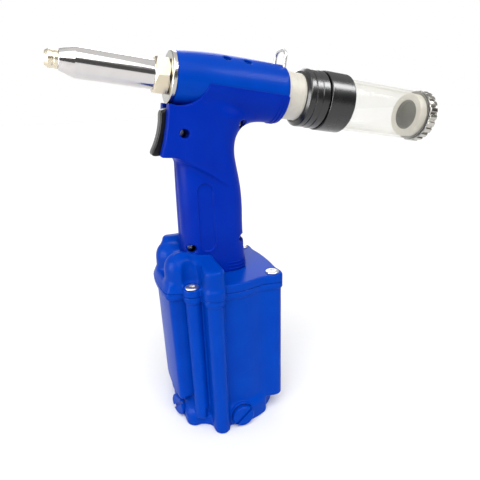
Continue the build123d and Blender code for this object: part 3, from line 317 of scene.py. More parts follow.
# %% A finish for each node
slot_of = {part["node"]: part["material_slot"] for part in frame["record"]["subparts"]}
for name, node in nodes.items():
    node.data.materials.clear()
    node.data.materials.append(paint[slot_of[name]])
print("dressed", len(slot_of), "nodes")

# %% [markdown]
# ## Castings as fields of distance
# A casting has no sharp corner: the mould rounds every edge, and fills every inner corner. Bevels struggle
# where many forms run together, so the castings are given as a field instead: a function that says how far
# a point lies from the surface, negative inside. Two forms join by a soft minimum, which fills the corner
# between them, and meet by a soft maximum, which rounds the edge. The last number of each such call is the
# size of that fillet or round in millimetres.

# %% Soft joins and plain forms
def join(a, b, soft):
    """The union of two fields, with the inner corner filled over about this many millimetres."""
    near = np.maximum(soft - np.abs(a - b), 0.0)
    return np.minimum(a, b) - near * near / (4.0 * soft)


def meet(a, b, soft):
    """What two fields share, with the edge rounded."""
    return -join(-a, -b, soft)


def cut(a, b, soft):
    """The first field less the second, with the rim rounded."""
    return -join(-a, b, soft)


def disc(u, v, radius):
    """A circle about its own centre."""
    return np.hypot(u, v) - radius


def plate(u, v, half_u, half_v, corner):
    """A rectangle with round corners, about its own centre."""
    over_u, over_v = np.abs(u) - half_u + corner, np.abs(v) - half_v + corner
    outside = np.hypot(np.maximum(over_u, 0), np.maximum(over_v, 0))
    return outside + np.minimum(np.maximum(over_u, over_v), 0) - corner


def span(v, low, high):
    """A slab between two limits."""
    return np.abs(v - (low + high) / 2) - (high - low) / 2


print("a round corner's middle:", plate(np.array(5.0), np.array(5.0), 5.0, 5.0, 2.0).round(2))

# %% [markdown]
# ## A skin for a field
# To turn a field into a mesh, it is sampled on an even grid. Each cell that the surface crosses gets one
# point, at the mean of the crossings on its edges, and each grid edge that is crossed gets one quad
# between its four cells. A few steps down the field's slope then bring every point onto the surface, so
# the shading is smooth although the grid is coarse.

# %% Points and quads of the crossed cells
UNITS = np.eye(3, dtype=int)


def cell_points(value, cell, corners):
    """For each crossed cell, the mean of the crossings on its edges, in steps of the grid."""
    total, count = np.zeros((len(cell), 3)), np.zeros((len(cell), 1))
    for start in corners:
        for axis in UNITS[start == 0]:
            a, b = value[tuple((cell + start).T)], value[tuple((cell + start + axis).T)]
            crossed = (a < 0) != (b < 0)
            along = np.where(crossed, a / np.where(crossed, a - b, 1.0), 0.0)
            total += crossed[:, None] * (start + along[:, None] * axis)
            count += crossed[:, None]
    return cell + total / count


def edge_quads(inside, number):
    """One quad for each crossed grid edge, between the four cells round it, facing outwards."""
    quads = []
    for axis in range(3):
        u, v = UNITS[(axis + 1) % 3], UNITS[(axis + 2) % 3]
        ends = [slice(1, -1)] * 3
        ends[axis] = slice(0, -1)
        here = inside[tuple(ends)]
        ends[axis] = slice(1, None)
        edge = np.argwhere(here != inside[tuple(ends)]) + u + v
        face = np.stack([number[tuple((edge - d).T)] for d in (u + v, v, 0 * u, u)], axis=1)
        leaving = inside[tuple(edge.T)]
        quads.append(np.where(leaving[:, None], face, face[:, ::-1]))
    return np.concatenate(quads)


print("edges of a cell run along", UNITS.tolist())

# %% Skin a field
LEAST_SLOPE, SETTLE_STEPS, SETTLE_REACH = 0.05, 3, 0.4


def way_out(field, points, sunk=0.0, step=0.02):
    """The way from a field's surface, or from a little under it, to each point."""
    value = field(*points.T)
    grad = np.stack([field(*(points + step * axis).T) - value for axis in np.eye(3)], axis=1) / step
    return (value + sunk)[:, None] * grad / np.maximum((grad * grad).sum(1), LEAST_SLOPE)[:, None]


def skin(field, low, high, step):
    """Points and quads of the surface where a field is nought, in a box, all in millimetres."""
    low = np.array(low, float)
    value = field(*np.meshgrid(*[np.arange(a, b + step, step) for a, b in zip(low, high)], indexing="ij"))
    inside = value < 0
    corners = np.array([(i, j, k) for i in (0, 1) for j in (0, 1) for k in (0, 1)])
    cells = tuple(n - 1 for n in value.shape)
    filled = np.zeros(cells, np.int8)
    for i, j, k in corners:
        filled += inside[i:i + cells[0], j:j + cells[1], k:k + cells[2]]
    cell = np.argwhere((filled > 0) & (filled < len(corners)))
    number = np.full(cells, -1)
    number[tuple(cell.T)] = np.arange(len(cell))
    points = low + step * cell_points(value, cell, corners)
    for _ in range(SETTLE_STEPS):
        points = points - np.clip(way_out(field, points), -SETTLE_REACH * step, SETTLE_REACH * step)
    return points, edge_quads(inside, number)


ball = skin(lambda x, y, z: np.sqrt(x * x + y * y + z * z) - 5.0, (-6, -6, -6), (6, 6, 6), 1.0)
print("a ball's skin:", len(ball[0]), "points", len(ball[1]), "quads")

# %% [markdown]
# ## From points to a piece
# A piece of the tool is a mesh with a finish, a body that it moves with and the CAD nodes that it stands
# for. One function settles all of that, so that each later piece is a single call.

# %% Settle a piece
def settle(name, mesh, body, slot, *replaced):
    """Puts a mesh into the scene with its slot's finish, its body and the nodes it stands for."""
    mesh.materials.clear()
    mesh.materials.append(paint[slot])
    thing = bpy.data.objects.new(name, mesh)
    bpy.context.scene.collection.objects.link(thing)
    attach(thing, body)
    if replaced:
        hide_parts(*replaced)
    print(name, len(mesh.vertices), "points", len(mesh.polygons), "faces")
    return thing


def piece(name, points, faces, body, slot, *replaced):
    """A smooth-shaded object from points in millimetres, riding on a body in place of CAD nodes."""
    mesh = bpy.data.meshes.new(name)
    mesh.from_pydata((np.asarray(points) * MM).tolist(), [], [list(map(int, face)) for face in faces])
    mesh.shade_smooth()
    return settle(name, mesh, body, slot, *replaced)


def casting(name, field, slot, *replaced, low, high, step, body="tool_body", place=None):
    """A piece from the skin of its field in a box, on the fixed body unless another is named."""
    points, quads = skin(field, low, high, step)
    piece(name, place(points) if place else points, quads, body, slot, *replaced)


# %% [markdown]
# ## The base from above
# The base is an aluminium casting: a round air cylinder with four bolt pillars, an air duct standing proud
# on each flank, a box in front for the passages to the valve, and a rear wall, both gently bowed. Seen from
# above, each of these is a plain outline, and the cover has the same outlines, so they come first.

# %% Plans of the base
DECK = 126.3
CUP_RADIUS, BORE_RADIUS, BORE_FLOOR = 42.5, 38.5, 20.0
PILLAR_AT, PILLAR_RADIUS = 33.0, 6.0
DUCT_AT, DUCT_RADIUS, DUCT_END = -19.5, 6.8, 51.8
BOX_FRONT, BOX_HALF, BOX_ARC = -51.2, 25.5, 150.0
REAR_WALL, REAR_MID, REAR_HALF, REAR_ARC = 40.4, 19.0, 38.2, 260.0
CORNER = 6.0


def base_plans(x, y):
    """Outlines of the base from above: cylinder with ducts, pillars with rear wall, and front box."""
    rear_wall = disc(x - REAR_WALL + REAR_ARC, y, REAR_ARC)
    shaft = meet(disc(x, y, CUP_RADIUS), rear_wall, 2.0)
    shaft = join(shaft, plate(x - DUCT_AT, y, DUCT_RADIUS, DUCT_END, DUCT_RADIUS), 4.0)
    rear = meet(plate(x - REAR_MID, y, REAR_WALL - REAR_MID, REAR_HALF, CORNER), rear_wall, 1.5)
    pillars = disc(np.abs(x) - PILLAR_AT, np.abs(y) - PILLAR_AT, PILLAR_RADIUS)
    box = plate(x - BOX_FRONT / 2, y, -BOX_FRONT / 2, BOX_HALF, CORNER)
    box = meet(box, disc(x - BOX_FRONT - BOX_ARC, y, BOX_ARC), 1.5)
    return shaft, join(rear, pillars, 5.0), box


print("front of the box, from above:", base_plans(np.array(BOX_FRONT), np.array(0.0))[2].round(2))

# %% [markdown]
# ## The cylinder base
# Each outline now gets its own height. A foot ring goes round the bottom, squared under the front pillars.
# It has a port in front and one on the near side, each closed by a coin-slot plug, and the air inlet is
# behind. A rim stands proud at the top, where the cover sits, and the whole is bored out for the piston.

# %% Base casting
CUP_TOP, RIM_FOOT, RIM, BOX_RIM = 119.5, 114.5, 1.2, 2.4
PILLAR_FOOT, REAR_FOOT, DRAFT = 8.8, 13.2, 0.0005
BOX_FOOT, BOX_RISE = 20.0, 0.25
FOOT_RADIUS, FOOT_TOP, FOOT_REAR = 46.3, 18.0, 24.5
BEVEL_AT, BEVEL_UP, BEVEL_OUT = 44.0, 0.8, 0.6
PAD_MID, PAD_LONG, PAD_HALF, PAD_ROUND = -15.0, 28.6, 34.3, 8.0
# Ports on the near side and in front, by their angle round the cylinder
PORTS = [math.radians(a) for a in (269.0, 195.0)]
PORT_RISE, PORT_START, PLUG_RADIUS, PLUG_WALL, PLUG_SEAT = 9.6, 30.0, 9.15, 1.2, 45.4
INLET_START, INLET_FACE, INLET_BOSS, INLET_RADIUS, INLET_SEAT = 20.0, 42.9, 11.4, 9.3, 41.4
POCKET_X, POCKET_Y, POCKET_RADIUS, POCKET_LOW, POCKET_HIGH = -27.5, -37.5, 2.1, 11.0, 18.0


def foot_ring(x, y, z):
    """The ring that the tool stands on, with a bevel on top that falls away outwards."""
    plan = join(disc(x, y, FOOT_RADIUS), plate(x - PAD_MID, y, PAD_LONG, PAD_HALF, PAD_ROUND), 2.0)
    plan = meet(plan, x - FOOT_REAR, 3.0)
    bevel = BEVEL_UP * (z - FOOT_TOP) + BEVEL_OUT * (np.hypot(x, y) - BEVEL_AT)
    return meet(meet(plan, -z, 2.0), bevel, 4.0)


def with_ports(body, x, y, z):
    """Adds a boss for each plug and for the inlet bush, and sinks their seats."""
    rise = z - PORT_RISE
    for angle in PORTS:
        along, aside = x * math.cos(angle) + y * math.sin(angle), y * math.cos(angle) - x * math.sin(angle)
        boss = meet(disc(aside, rise, PLUG_RADIUS + PLUG_WALL), span(along, PORT_START, FOOT_RADIUS), 1.4)
        body = join(body, boss, 1.0)
        body = cut(body, np.maximum(disc(aside, rise, PLUG_RADIUS), PLUG_SEAT - along), 0.5)
    boss = meet(disc(y, rise, INLET_BOSS), span(x, INLET_START, INLET_FACE), 1.4)
    body = join(body, np.maximum(boss, -z), 1.2)
    return cut(body, np.maximum(disc(y, rise, INLET_RADIUS), INLET_SEAT - x), 0.5)


def base_cup(x, y, z):
    """Each plan at its own height, with foot, rim and ports, less a small pocket and the bore."""
    shaft, corners, box = base_plans(np.where(x < 0, x * (1.0 + DRAFT * (CUP_TOP - z)), x), y)
    body = meet(shaft, -z, 1.6)
    body = join(body, meet(corners, np.where(x < 0, PILLAR_FOOT, REAR_FOOT) - z, 2.2), 2.2)
    body = join(body, meet(box, BOX_FOOT - z + BOX_RISE * (x - BOX_FRONT), 4.0), 2.5)
    body = join(body, foot_ring(x, y, z), 2.0)
    rim = np.minimum(np.minimum(shaft, corners) - RIM, box - BOX_RIM)
    body = np.maximum(join(body, meet(rim, RIM_FOOT - z, 0.8), 1.2), z - CUP_TOP)
    body = with_ports(body, x, y, z)
    pocket = disc(x - POCKET_X, y - POCKET_Y, POCKET_RADIUS)
    body = cut(body, np.maximum(pocket, span(z, POCKET_LOW, POCKET_HIGH)), 0.8)
    return np.maximum(cut(body, np.maximum(disc(x, y, BORE_RADIUS), BORE_FLOOR - z), 0.6), -z)


casting("cylinder_base", base_cup, "blue_paint", "base_cup",
        low=(-56, -55, -2), high=(49, 55, 122), step=1.15)

# %% [markdown]
# ## The cover and its saddle
# The cover closes the cylinder and carries the grip in a saddle: two humps in front with a valley between
# them, an ear on each side of the grip, and a ridge that runs from each ear out over the air duct. Round
# scoops leave room for a wrench on the front bolts. The same plans as the base, grown by the width of the
# rim, keep the two edges in line.

# %% Saddle
GRIP_MID, GRIP_LONG, GRIP_HALF, GRIP_ROUND = -5.5, 26.0, 18.0, 13.0
HUMP_X, HUMP_Y, HUMP_RADIUS, HUMP_TOP = -36.6, 15.5, 12.9, 148.0
WEB_X, WEB_LONG, WEB_HALF, WEB_TOP = -27.0, 17.0, 16.0, 143.0
EAR_Y, EAR_ROUND = 21.5, 4.0
FAR_EAR_X, FAR_EAR_LONG, FAR_EAR_HALF, FAR_EAR_TOP = -27.3, 14.3, 5.0, 151.3
NEAR_EAR_X, NEAR_EAR_LONG, NEAR_EAR_HALF, NEAR_EAR_TOP = -26.3, 13.6, 5.4, 145.8
EAR_PEAK, EAR_SLOPE, EAR_FALL = -28.0, 0.26, 1.5
RIDGE_X, RIDGE_RADIUS, RIDGE_TOP, RIDGE_FALL = -18.8, 7.8, 142.9, 0.03
SCOOP_RADIUS = 7.8


def saddle(x, y, z):
    """Humps, web, ears and ridge that hold the grip, with a scoop over each front bolt."""
    aside = np.abs(y)
    past_grip = aside - GRIP_HALF
    hump = meet(disc(x - HUMP_X, aside - HUMP_Y, HUMP_RADIUS), z - HUMP_TOP, 14.0)
    web = meet(plate(x - WEB_X, y, WEB_LONG, WEB_HALF, CORNER), z - WEB_TOP, 9.0)
    far_plan = plate(x - FAR_EAR_X, y - EAR_Y, FAR_EAR_LONG, FAR_EAR_HALF, EAR_ROUND)
    near_plan = plate(x - NEAR_EAR_X, y + EAR_Y, NEAR_EAR_LONG, NEAR_EAR_HALF, EAR_ROUND)
    near_top = z - NEAR_EAR_TOP + EAR_SLOPE * (x - EAR_PEAK) + EAR_FALL * np.maximum(past_grip, 0.0)
    ears = np.minimum(meet(far_plan, z - FAR_EAR_TOP, 4.0), meet(near_plan, near_top, 4.0))
    ridge_plan = plate(x - RIDGE_X, y, RIDGE_RADIUS, DUCT_END, RIDGE_RADIUS)
    ridge = meet(ridge_plan, z - RIDGE_TOP + RIDGE_FALL * past_grip, 4.0)
    whole = join(join(join(hump, web, 3.0), ears, 4.0), ridge, 4.0)
    return cut(whole, disc(x + PILLAR_AT, aside - PILLAR_AT, SCOOP_RADIUS), 1.4)


print("saddle's near hump, at its top:", saddle(*np.array([HUMP_X, -HUMP_Y, HUMP_TOP])).round(1))

# %% Cover and gasket castings
COVER_FOOT, SADDLE_FOOT, BOX_LEAN = 119.65, 120.65, 0.45
HOLE_LAP, HOLE_FLOOR = 0.5, DECK + 0.2
SCREW_SEAT, SCREW_DROP = 6.6, 1.2
GASKET_LOW, GASKET_HIGH, GASKET_IN = 118.9, 120.3, 0.2


def base_cover(x, y, z):
    """The flange and its saddle, with seats for the front bolts and a hole under the grip."""
    shaft, corners, box = base_plans(x, y)
    edge = join(join(shaft, corners, 2.0) - RIM, box - BOX_RIM + BOX_LEAN * (z - COVER_FOOT), 2.0)
    body = np.maximum(meet(edge, z - DECK, 1.8), COVER_FOOT - z)
    body = join(body, np.maximum(saddle(x, y, z), SADDLE_FOOT - z), 3.0)
    seat = disc(x + PILLAR_AT, np.abs(y) - PILLAR_AT, SCREW_SEAT)
    body = cut(body, np.maximum(seat, DECK - SCREW_DROP - z), 0.6)
    hole = plate(x - GRIP_MID, y, GRIP_LONG - HOLE_LAP, GRIP_HALF - HOLE_LAP, GRIP_ROUND - HOLE_LAP)
    return np.maximum(body, -np.maximum(hole, HOLE_FLOOR - z))


def seam(x, y, z):
    """The gasket, drawn in from the edge so that the seam is a fine shadow line."""
    shaft, corners, box = base_plans(x, y)
    edge = join(join(shaft, corners, 2.0) + GASKET_IN, box - BOX_RIM / 2, 3.0)
    return np.maximum(np.maximum(edge, span(z, GASKET_LOW, GASKET_HIGH)), -disc(x, y, BORE_RADIUS))


casting("cover_gasket", seam, "rubber", "base_gasket",
        low=(-56, -55, 118), high=(46, 55, 121.2), step=0.7)
casting("cylinder_cover", base_cover, "blue_paint", "base_cover",
        low=(-57, -56, 118), high=(46, 56, 153), step=0.72)

# %% [markdown]
# ## The barrel
# The barrel is the head's hydraulic cylinder: it swells gently from the nose and runs straight to the
# rear, where its edge is rounded. Two sunk oil screws sit on its upper left, and the wire hanger goes
# into two small holes at its rear. It is skinned in the head's own axes and then laid into the frame.

# %% Barrel casting
BARREL_END, BARREL_NOSE, BARREL_RADIUS, SWELL_END = 85.5, 18.2, 21.5, 42.0
SWELL = (SWELL_END ** 2 + (BARREL_RADIUS - BARREL_NOSE) ** 2) / (2 * (BARREL_RADIUS - BARREL_NOSE))
NOSE_BORE, NOSE_BORE_END, OIL_BORE = 10.3, 12.0, 15.5
OIL_SCREWS, OIL_ANGLE = (36.0, 52.0), math.radians(32.0)
OIL_HOLE, OIL_HOLE_FLOOR = 2.9, 15.8
HANGER_AT, HANGER_HALF, HANGER_HOLE, HANGER_FLOOR = 82.6, 8.7, 1.26, 16.0


def barrel_edge(station):
    """Outer radius of the barrel at a station: a long arc that runs out where the swell ends."""
    left = np.clip(SWELL_END - station, 0.0, SWELL_END)
    return BARREL_RADIUS - SWELL + np.sqrt(SWELL ** 2 - left ** 2)


def barrel(s, y, up):
    """The head's cylinder in the head's own axes, with its bores and small holes."""
    out = np.hypot(y, up)
    body = meet(meet(out - barrel_edge(s), -s, 1.6), s - BARREL_END, 3.6)
    body = cut(body, out - np.where(s < NOSE_BORE_END, NOSE_BORE, OIL_BORE), 0.3)
    across = y * math.cos(OIL_ANGLE) + up * math.sin(OIL_ANGLE)
    proud = up * math.cos(OIL_ANGLE) - y * math.sin(OIL_ANGLE)
    for station in OIL_SCREWS:
        body = cut(body, np.maximum(disc(s - station, across, OIL_HOLE), OIL_HOLE_FLOOR - proud), 0.6)
    for side in (-HANGER_HALF, HANGER_HALF):
        hole = disc(s - HANGER_AT, y - side, HANGER_HOLE)
        body = cut(body, np.maximum(hole, HANGER_FLOOR - up), 0.15)
    return body


casting("barrel_casting", barrel, "blue_paint", "barrel",
        low=(-2, -24, -24), high=(88, 24, 24), step=0.68, place=lambda points: head_point(*points.T))

# %% [markdown]
# ## Forms of the grip
# The grip is moulded in two halves that close on the middle plane, and one field gives both. It is easier
# to read as three forms: a column that leans back and swells for the palm, a deeper housing in front for
# the trigger and its valve, and a cradle under the barrel. A finger scoop draws the column's sides in
# where the housing overhangs it.

# %% Column, housing and cradle
# The column's front and its rear at the deck, how far its top lies under the head's axis, and its lean
GRIP_FRONT, GRIP_REAR, GRIP_UNDER, GRIP_LEAN = -31.5, 20.5, 6.0, math.radians(4.8)
PALM_SWELL, PALM_HEIGHT, PALM_SPREAD = 2.9, 188.0, 26.0
# Lines seen from the side, each through two points: the housing's foot and the end of the finger scoop
HOUSING_FOOT = (-45.4, 220.5), (-10.5, 217.5)
FINGER_LINE = (-24.0, 216.5), (2.0, 198.0)
FINGER_DEPTH, FINGER_LIP, FINGER_RUN, FINGER_END, FINGER_FADE = 3.6, 1.2, 18.0, 10.0, 22.0
HOUSING_X, HOUSING_Z, HOUSING_ARC = -180.0, 270.5, 144.7
HOUSING_HALF, HOUSING_BACK, HOUSING_TOP = 15.0, -10.0, 257.4
CRADLE_WALL, CRADLE_START, LEDGE = 1.0, 6.0, -1.5


def line_gap(x, z, start, end):
    """Distance from the line through two points, positive on the right of the way from start to end."""
    along = math.hypot(end[0] - start[0], end[1] - start[1])
    return ((x - start[0]) * (end[1] - start[1]) - (z - start[1]) * (end[0] - start[0])) / along


def grip_sizes(x, z):
    """The column's rear edge at a height, and its half thickness, less the finger scoop."""
    under = join(line_gap(x, z, *HOUSING_FOOT), line_gap(x, z, *FINGER_LINE), 12.0)
    below = np.maximum(under, 0.0)
    fade = np.clip((FINGER_END - x) / FINGER_FADE, 0.0, 1.0)
    scoop = FINGER_DEPTH * fade * (1.0 - np.exp(-below / FINGER_LIP)) * np.exp(-below / FINGER_RUN)
    swell = PALM_SWELL * np.exp(-((z - PALM_HEIGHT) / PALM_SPREAD) ** 2)
    return GRIP_REAR - (z - DECK) * math.tan(GRIP_LEAN) + swell, GRIP_HALF - scoop


def trigger_housing(x, y, z):
    """The deep front of the grip: behind a large arc and above a sloping foot."""
    housing = meet(-disc(x - HOUSING_X, z - HOUSING_Z, HOUSING_ARC), np.abs(y) - HOUSING_HALF, 1.8)
    housing = meet(meet(housing, line_gap(x, z, *HOUSING_FOOT), 1.8), x - HOUSING_BACK, 4.0)
    return np.maximum(housing, z - HOUSING_TOP)


def barrel_cradle(s, out, up):
    """The trough that the barrel lies in, up to a ledge on each flank."""
    wall = meet(out - barrel_edge(s) - CRADLE_WALL, up - LEDGE, 0.6)
    return meet(wall, span(s, CRADLE_START, BARREL_END), 2.4)


print("grip's rear edge at the palm:", grip_sizes(np.array(0.0), np.array(PALM_HEIGHT))[0].round(1))

# %% [markdown]
# ## The grip shell
# The three forms now run together. The neck wants a wide fillet behind and a tight one at the sides, so
# the softness of that join changes along and round the barrel. What is hollow comes last: the
# barrel's seat, the trigger's slot, the space for the oil cylinder, the valve's bore, a shallow panel on
# each side and the sunk screw holes. A cut on the middle plane then makes the two halves.

# %% Grip shell halves
# The neck's fillet: its least size and its gain, then where it widens round the barrel and along it
NECK_TIGHT, NECK_WIDE, NECK_RADIUS = 2.0, 30.0, 22.4
NECK_LOW, NECK_TURN, NECK_START, NECK_RUN = 0.35, 0.7, 15.0, 35.0
# Seats: a round hollow under the barrel's front, a plain bore ahead of its face, and its own outline
SEAT_STATION, SEAT_UP, SEAT_RADIUS, SEAT_LOW = 1.4, 2.8, 21.2, 255.4
FACE_END, FACE_SEAT, BARREL_LAP = 0.5, 19.1, 1.6
SLOT_HALF, SLOT_LIP, SLOT_LIP_X, SLOT_BACK, SLOT_LOW, SLOT_HIGH = 6.2, 222.0, -33.0, -30.0, 212.0, 270.0
CAVITY_WALL, CAVITY_HALF, CAVITY_ROUND, CAVITY_TOP = 4.0, 14.0, 10.0, 214.0
VALVE_Z, VALVE_BORE, VALVE_FRONT, VALVE_BACK = 228.0, 5.1, -36.0, -7.5
PANEL_X, PANEL_HALF, PANEL_LOW, PANEL_HIGH, PANEL_DEPTH = -14.0, 6.0, 146.3, 199.3, 1.0
# Screws: x, z and how far from the middle plane each seat lies
SCREW_SPOTS = [(-26.4, 236.4, 2.5), (-26.2, 149.0, 6.0), (18.6, 240.5, 2.5), (15.6, 151.3, 2.5)]
SCREW_HOLE = 3.3
HALF_REACH, HALF_LAP = 23.5, 2.5


def eased(t):
    """From 0 to 1 with a soft start and end."""
    t = np.clip(t, 0.0, 1.0)
    return t * t * (3.0 - 2.0 * t)


def grip_forms(x, y, z, middle, long, half):
    """Column, housing and cradle run together, with the barrel's seat cut out."""
    s, up = head_station(x, z)
    out = np.hypot(y, up)
    column = np.maximum(plate(x - middle, y, long, half, GRIP_ROUND), up + GRIP_UNDER)
    flank = eased((-up / NECK_RADIUS - NECK_LOW) / NECK_TURN) * eased((s - NECK_START) / NECK_RUN)
    body = join(column, trigger_housing(x, y, z), 6.0)
    body = join(body, barrel_cradle(s, out, up), NECK_TIGHT + NECK_WIDE * flank)
    front_seat = np.maximum(disc(s - SEAT_STATION, up - SEAT_UP, SEAT_RADIUS), SEAT_LOW - z)
    seat = np.where(s < FACE_END, out - FACE_SEAT, out - barrel_edge(s) + BARREL_LAP)
    return cut(body, np.minimum(front_seat, seat), 0.8)


def grip_shell(x, y, z):
    """Both halves of the grip in one field, with all that is hollow in them."""
    rear, half = grip_sizes(x, z)
    aside, middle, long = np.abs(y), (GRIP_FRONT + rear) / 2, (rear - GRIP_FRONT) / 2
    body = grip_forms(x, y, z, middle, long, half)
    slot = np.maximum(aside - SLOT_HALF, x - np.where(z < SLOT_LIP, SLOT_LIP_X, SLOT_BACK))
    body = cut(body, np.maximum(slot, span(z, SLOT_LOW, SLOT_HIGH)), 1.0)
    cavity = plate(x - middle, y, long - CAVITY_WALL, CAVITY_HALF, CAVITY_ROUND)
    body = cut(body, np.maximum(cavity, z - CAVITY_TOP), 1.0)
    body = cut(body, np.maximum(disc(y, z - VALVE_Z, VALVE_BORE), span(x, VALVE_FRONT, VALVE_BACK)), 0.3)
    tall = (PANEL_HIGH - PANEL_LOW) / 2
    panel = plate(x - PANEL_X, z - (PANEL_LOW + PANEL_HIGH) / 2, PANEL_HALF, tall, PANEL_HALF)
    body = cut(body, np.maximum(panel, half - PANEL_DEPTH - aside), 0.5)
    for spot_x, spot_z, seat in SCREW_SPOTS:
        body = cut(body, np.maximum(disc(x - spot_x, z - spot_z, SCREW_HOLE), y + seat), 0.8)
    return np.maximum(body, DECK - z)


for side, name, node in ((-1, "grip_left", "handle_left"), (1, "grip_right", "handle_right")):
    low_y, high_y = sorted((-side * HALF_LAP, side * HALF_REACH))
    casting(name, lambda x, y, z: meet(grip_shell(x, y, z), -side * y, 0.5), "blue_shell", node,
            low=(-48, low_y, 124.5), high=(58, high_y, 273), step=0.74)

# %% [markdown]
# ## The trigger
# The trigger is a black lever on a pin, hollowed in front for the finger. In the field it is a plain
# profile: outside a large circle in front and ahead of a sloping back, with an eye for the pin on top.
# Two cheeks reach further back beside the valve, and leave room for its sleeve when the lever is pulled.

# %% Trigger
PIVOT_X, PIVOT_Z, PIVOT_EYE, PIVOT_BORE = -34.6, 250.5, 3.6, 1.55
FINGER_X, FINGER_Z, FINGER_ROUND = -98.6, 253.9, 58.2
BACK_X, BACK_SLOPE = -36.8, 0.12
CHEEK_IN, CHEEK_DEEP, SLEEVE_ROOM = 4.2, 1.8, 6.0
TRIGGER_LOW, TRIGGER_HIGH, TRIGGER_HALF = 220.6, 253.5, 6.0


def trigger(x, y, z):
    """The lever with its eye and the bore for the pin."""
    finger = -disc(x - FINGER_X, z - FINGER_Z, FINGER_ROUND)
    back = x - BACK_X + BACK_SLOPE * (PIVOT_Z - z)
    beside = np.maximum(CHEEK_IN - np.abs(y), -disc(y, z - VALVE_Z, SLEEVE_ROOM))
    cheeks = np.maximum(beside, back - CHEEK_DEEP)
    lever = meet(meet(finger, np.minimum(back, cheeks), 1.5), span(z, TRIGGER_LOW, TRIGGER_HIGH), 4.5)
    lever = join(lever, disc(x - PIVOT_X, z - PIVOT_Z, PIVOT_EYE), 2.0)
    lever = meet(lever, np.abs(y) - TRIGGER_HALF, 2.2)
    return cut(lever, disc(x - PIVOT_X, z - PIVOT_Z, PIVOT_BORE), 0.3)


casting("finger_lever", trigger, "black_enamel", "trigger",
        low=(-53, -7, 219), high=(-29, 7, 256), step=0.5, body="trigger_lever")

# %% [markdown]
# ## Pieces off the lathe
# The nose and the collector are turned. A turned piece is an outline spun round the head's axis, and
# what makes it look real is the small round on each corner, which catches the light. So an outline is
# given as corners with a round each, and short runs next to the arcs keep the flats flat.

# %% Round the corners of an outline
ARC_STEPS, FLAT_RUN, FLAT_END = 5, 1.0, 0.15


def corner_arc(here, back, ahead, soft):
    """Points of the arc that rounds a corner, from its arm back to its arm ahead."""
    half = math.acos(np.clip(back @ ahead, -1.0, 1.0)) / 2
    middle = (back + ahead) / np.linalg.norm(back + ahead)
    centre = here + middle * soft / math.sin(half)
    first, last = (here + arm * soft / math.tan(half) - centre for arm in (back, ahead))
    sweep = math.pi - 2 * half
    arc = []
    for t in np.linspace(0.0, 1.0, ARC_STEPS + 1):
        swung = math.sin((1 - t) * sweep) * first + math.sin(t * sweep) * last
        arc.append(centre + swung / math.sin(sweep))
    return arc


def rounded(corners):
    """A closed outline, where each corner (along, out, round) becomes a short arc."""
    outline = []
    for k, (along, out, soft) in enumerate(corners):
        here = np.array([along, out])
        arms = [np.array(corners[(k + step) % len(corners)][:2]) - here for step in (-1, 1)]
        back, ahead = (arm / np.linalg.norm(arm) for arm in arms)
        outline += corner_arc(here, back, ahead, soft) if soft else [here]
    firm = []
    for k, point in enumerate(outline):
        firm.append(point)
        run = outline[(k + 1) % len(outline)] - point
        long = np.linalg.norm(run)
        if long > FLAT_RUN:
            firm += [point + run * t for t in (FLAT_END / long, 1 - FLAT_END / long)]
    return np.array(firm)


print("an arc on a square corner:", len(rounded([(0, 1, 0), (1, 1, 0.2), (1, 2, 0), (0, 2, 0)])), "points")

# %% Spin an outline
SEGMENTS = 144
MERGE_GAP, SLIVER = 1e-7, 1e-8


def close_poles(mesh):
    """Merges points that meet on the axis, and points every face outwards."""
    work = bmesh.new()
    work.from_mesh(mesh)
    bmesh.ops.remove_doubles(work, verts=work.verts, dist=MERGE_GAP)
    bmesh.ops.dissolve_degenerate(work, edges=work.edges, dist=SLIVER)
    bmesh.ops.recalc_face_normals(work, faces=work.faces)
    work.to_mesh(mesh)
    work.free()


def turn(name, corners, body, slot, *replaced):
    """Spins an outline of corners round the head's axis into a closed piece."""
    along, out = rounded(corners).T
    angles = np.linspace(0.0, 2 * math.pi, SEGMENTS, endpoint=False)[:, None]
    points = head_point(along + 0 * angles, out * np.sin(angles), out * np.cos(angles))
    here = np.arange(SEGMENTS)[:, None] * len(along) + np.arange(len(along))[None, :]
    on = np.roll(here, -1, axis=1)
    quads = np.stack([here, np.roll(here, -1, axis=0), np.roll(on, -1, axis=0), on], axis=-1)
    spun = piece(name, points.reshape(-1, 3), quads.reshape(-1, 4), body, slot, *replaced)
    close_poles(spun.data)


print("outlines are spun in", SEGMENTS, "steps")

# %% [markdown]
# ## Nose
# A chromed housing tapers to the nosepiece that the rivet's stem goes into. A thin bright collar covers
# the barrel's end. The nosepiece has a fine groove behind its rounded mouth. Each corner below is a
# station along the head's axis, a radius and a round.

# %% Nose pieces
turn("nose_cover_ring", [(-3.3, 10.26, 0.2), (0.0, 10.26, 0.2), (0.0, 18.6, 0.4), (-3.3, 18.6, 1.1)],
     "tool_body", "nickel", "nose_collar")
turn("nose_barrel", [(-74.8, 4.45, 0.3), (-74.8, 6.7, 0.6), (-65.0, 10.2, 1.2), (9.0, 10.2, 0.5),
                     (9.0, 8.0, 0.2), (-65.8, 8.0, 0.2), (-65.8, 4.45, 0.2)],
     "tool_body", "chrome", "nose_housing")
turn("rivet_mouth", [(NOSE_TIP, 2.1, 0.4), (NOSE_TIP, 4.5, 0.9), (-81.0, 5.9, 0.8), (-78.6, 5.9, 0.3),
                     (-78.4, 5.6, 0.2), (-77.4, 5.6, 0.2), (-77.2, 5.9, 0.3), (-74.8, 5.9, 0.4),
                     (-74.8, 4.4, 0.1), (-65.8, 4.4, 0.3), (-61.8, 3.4, 0.3), (-61.8, 2.1, 0.2)],
     "tool_body", "yellow_zinc", "nosepiece")

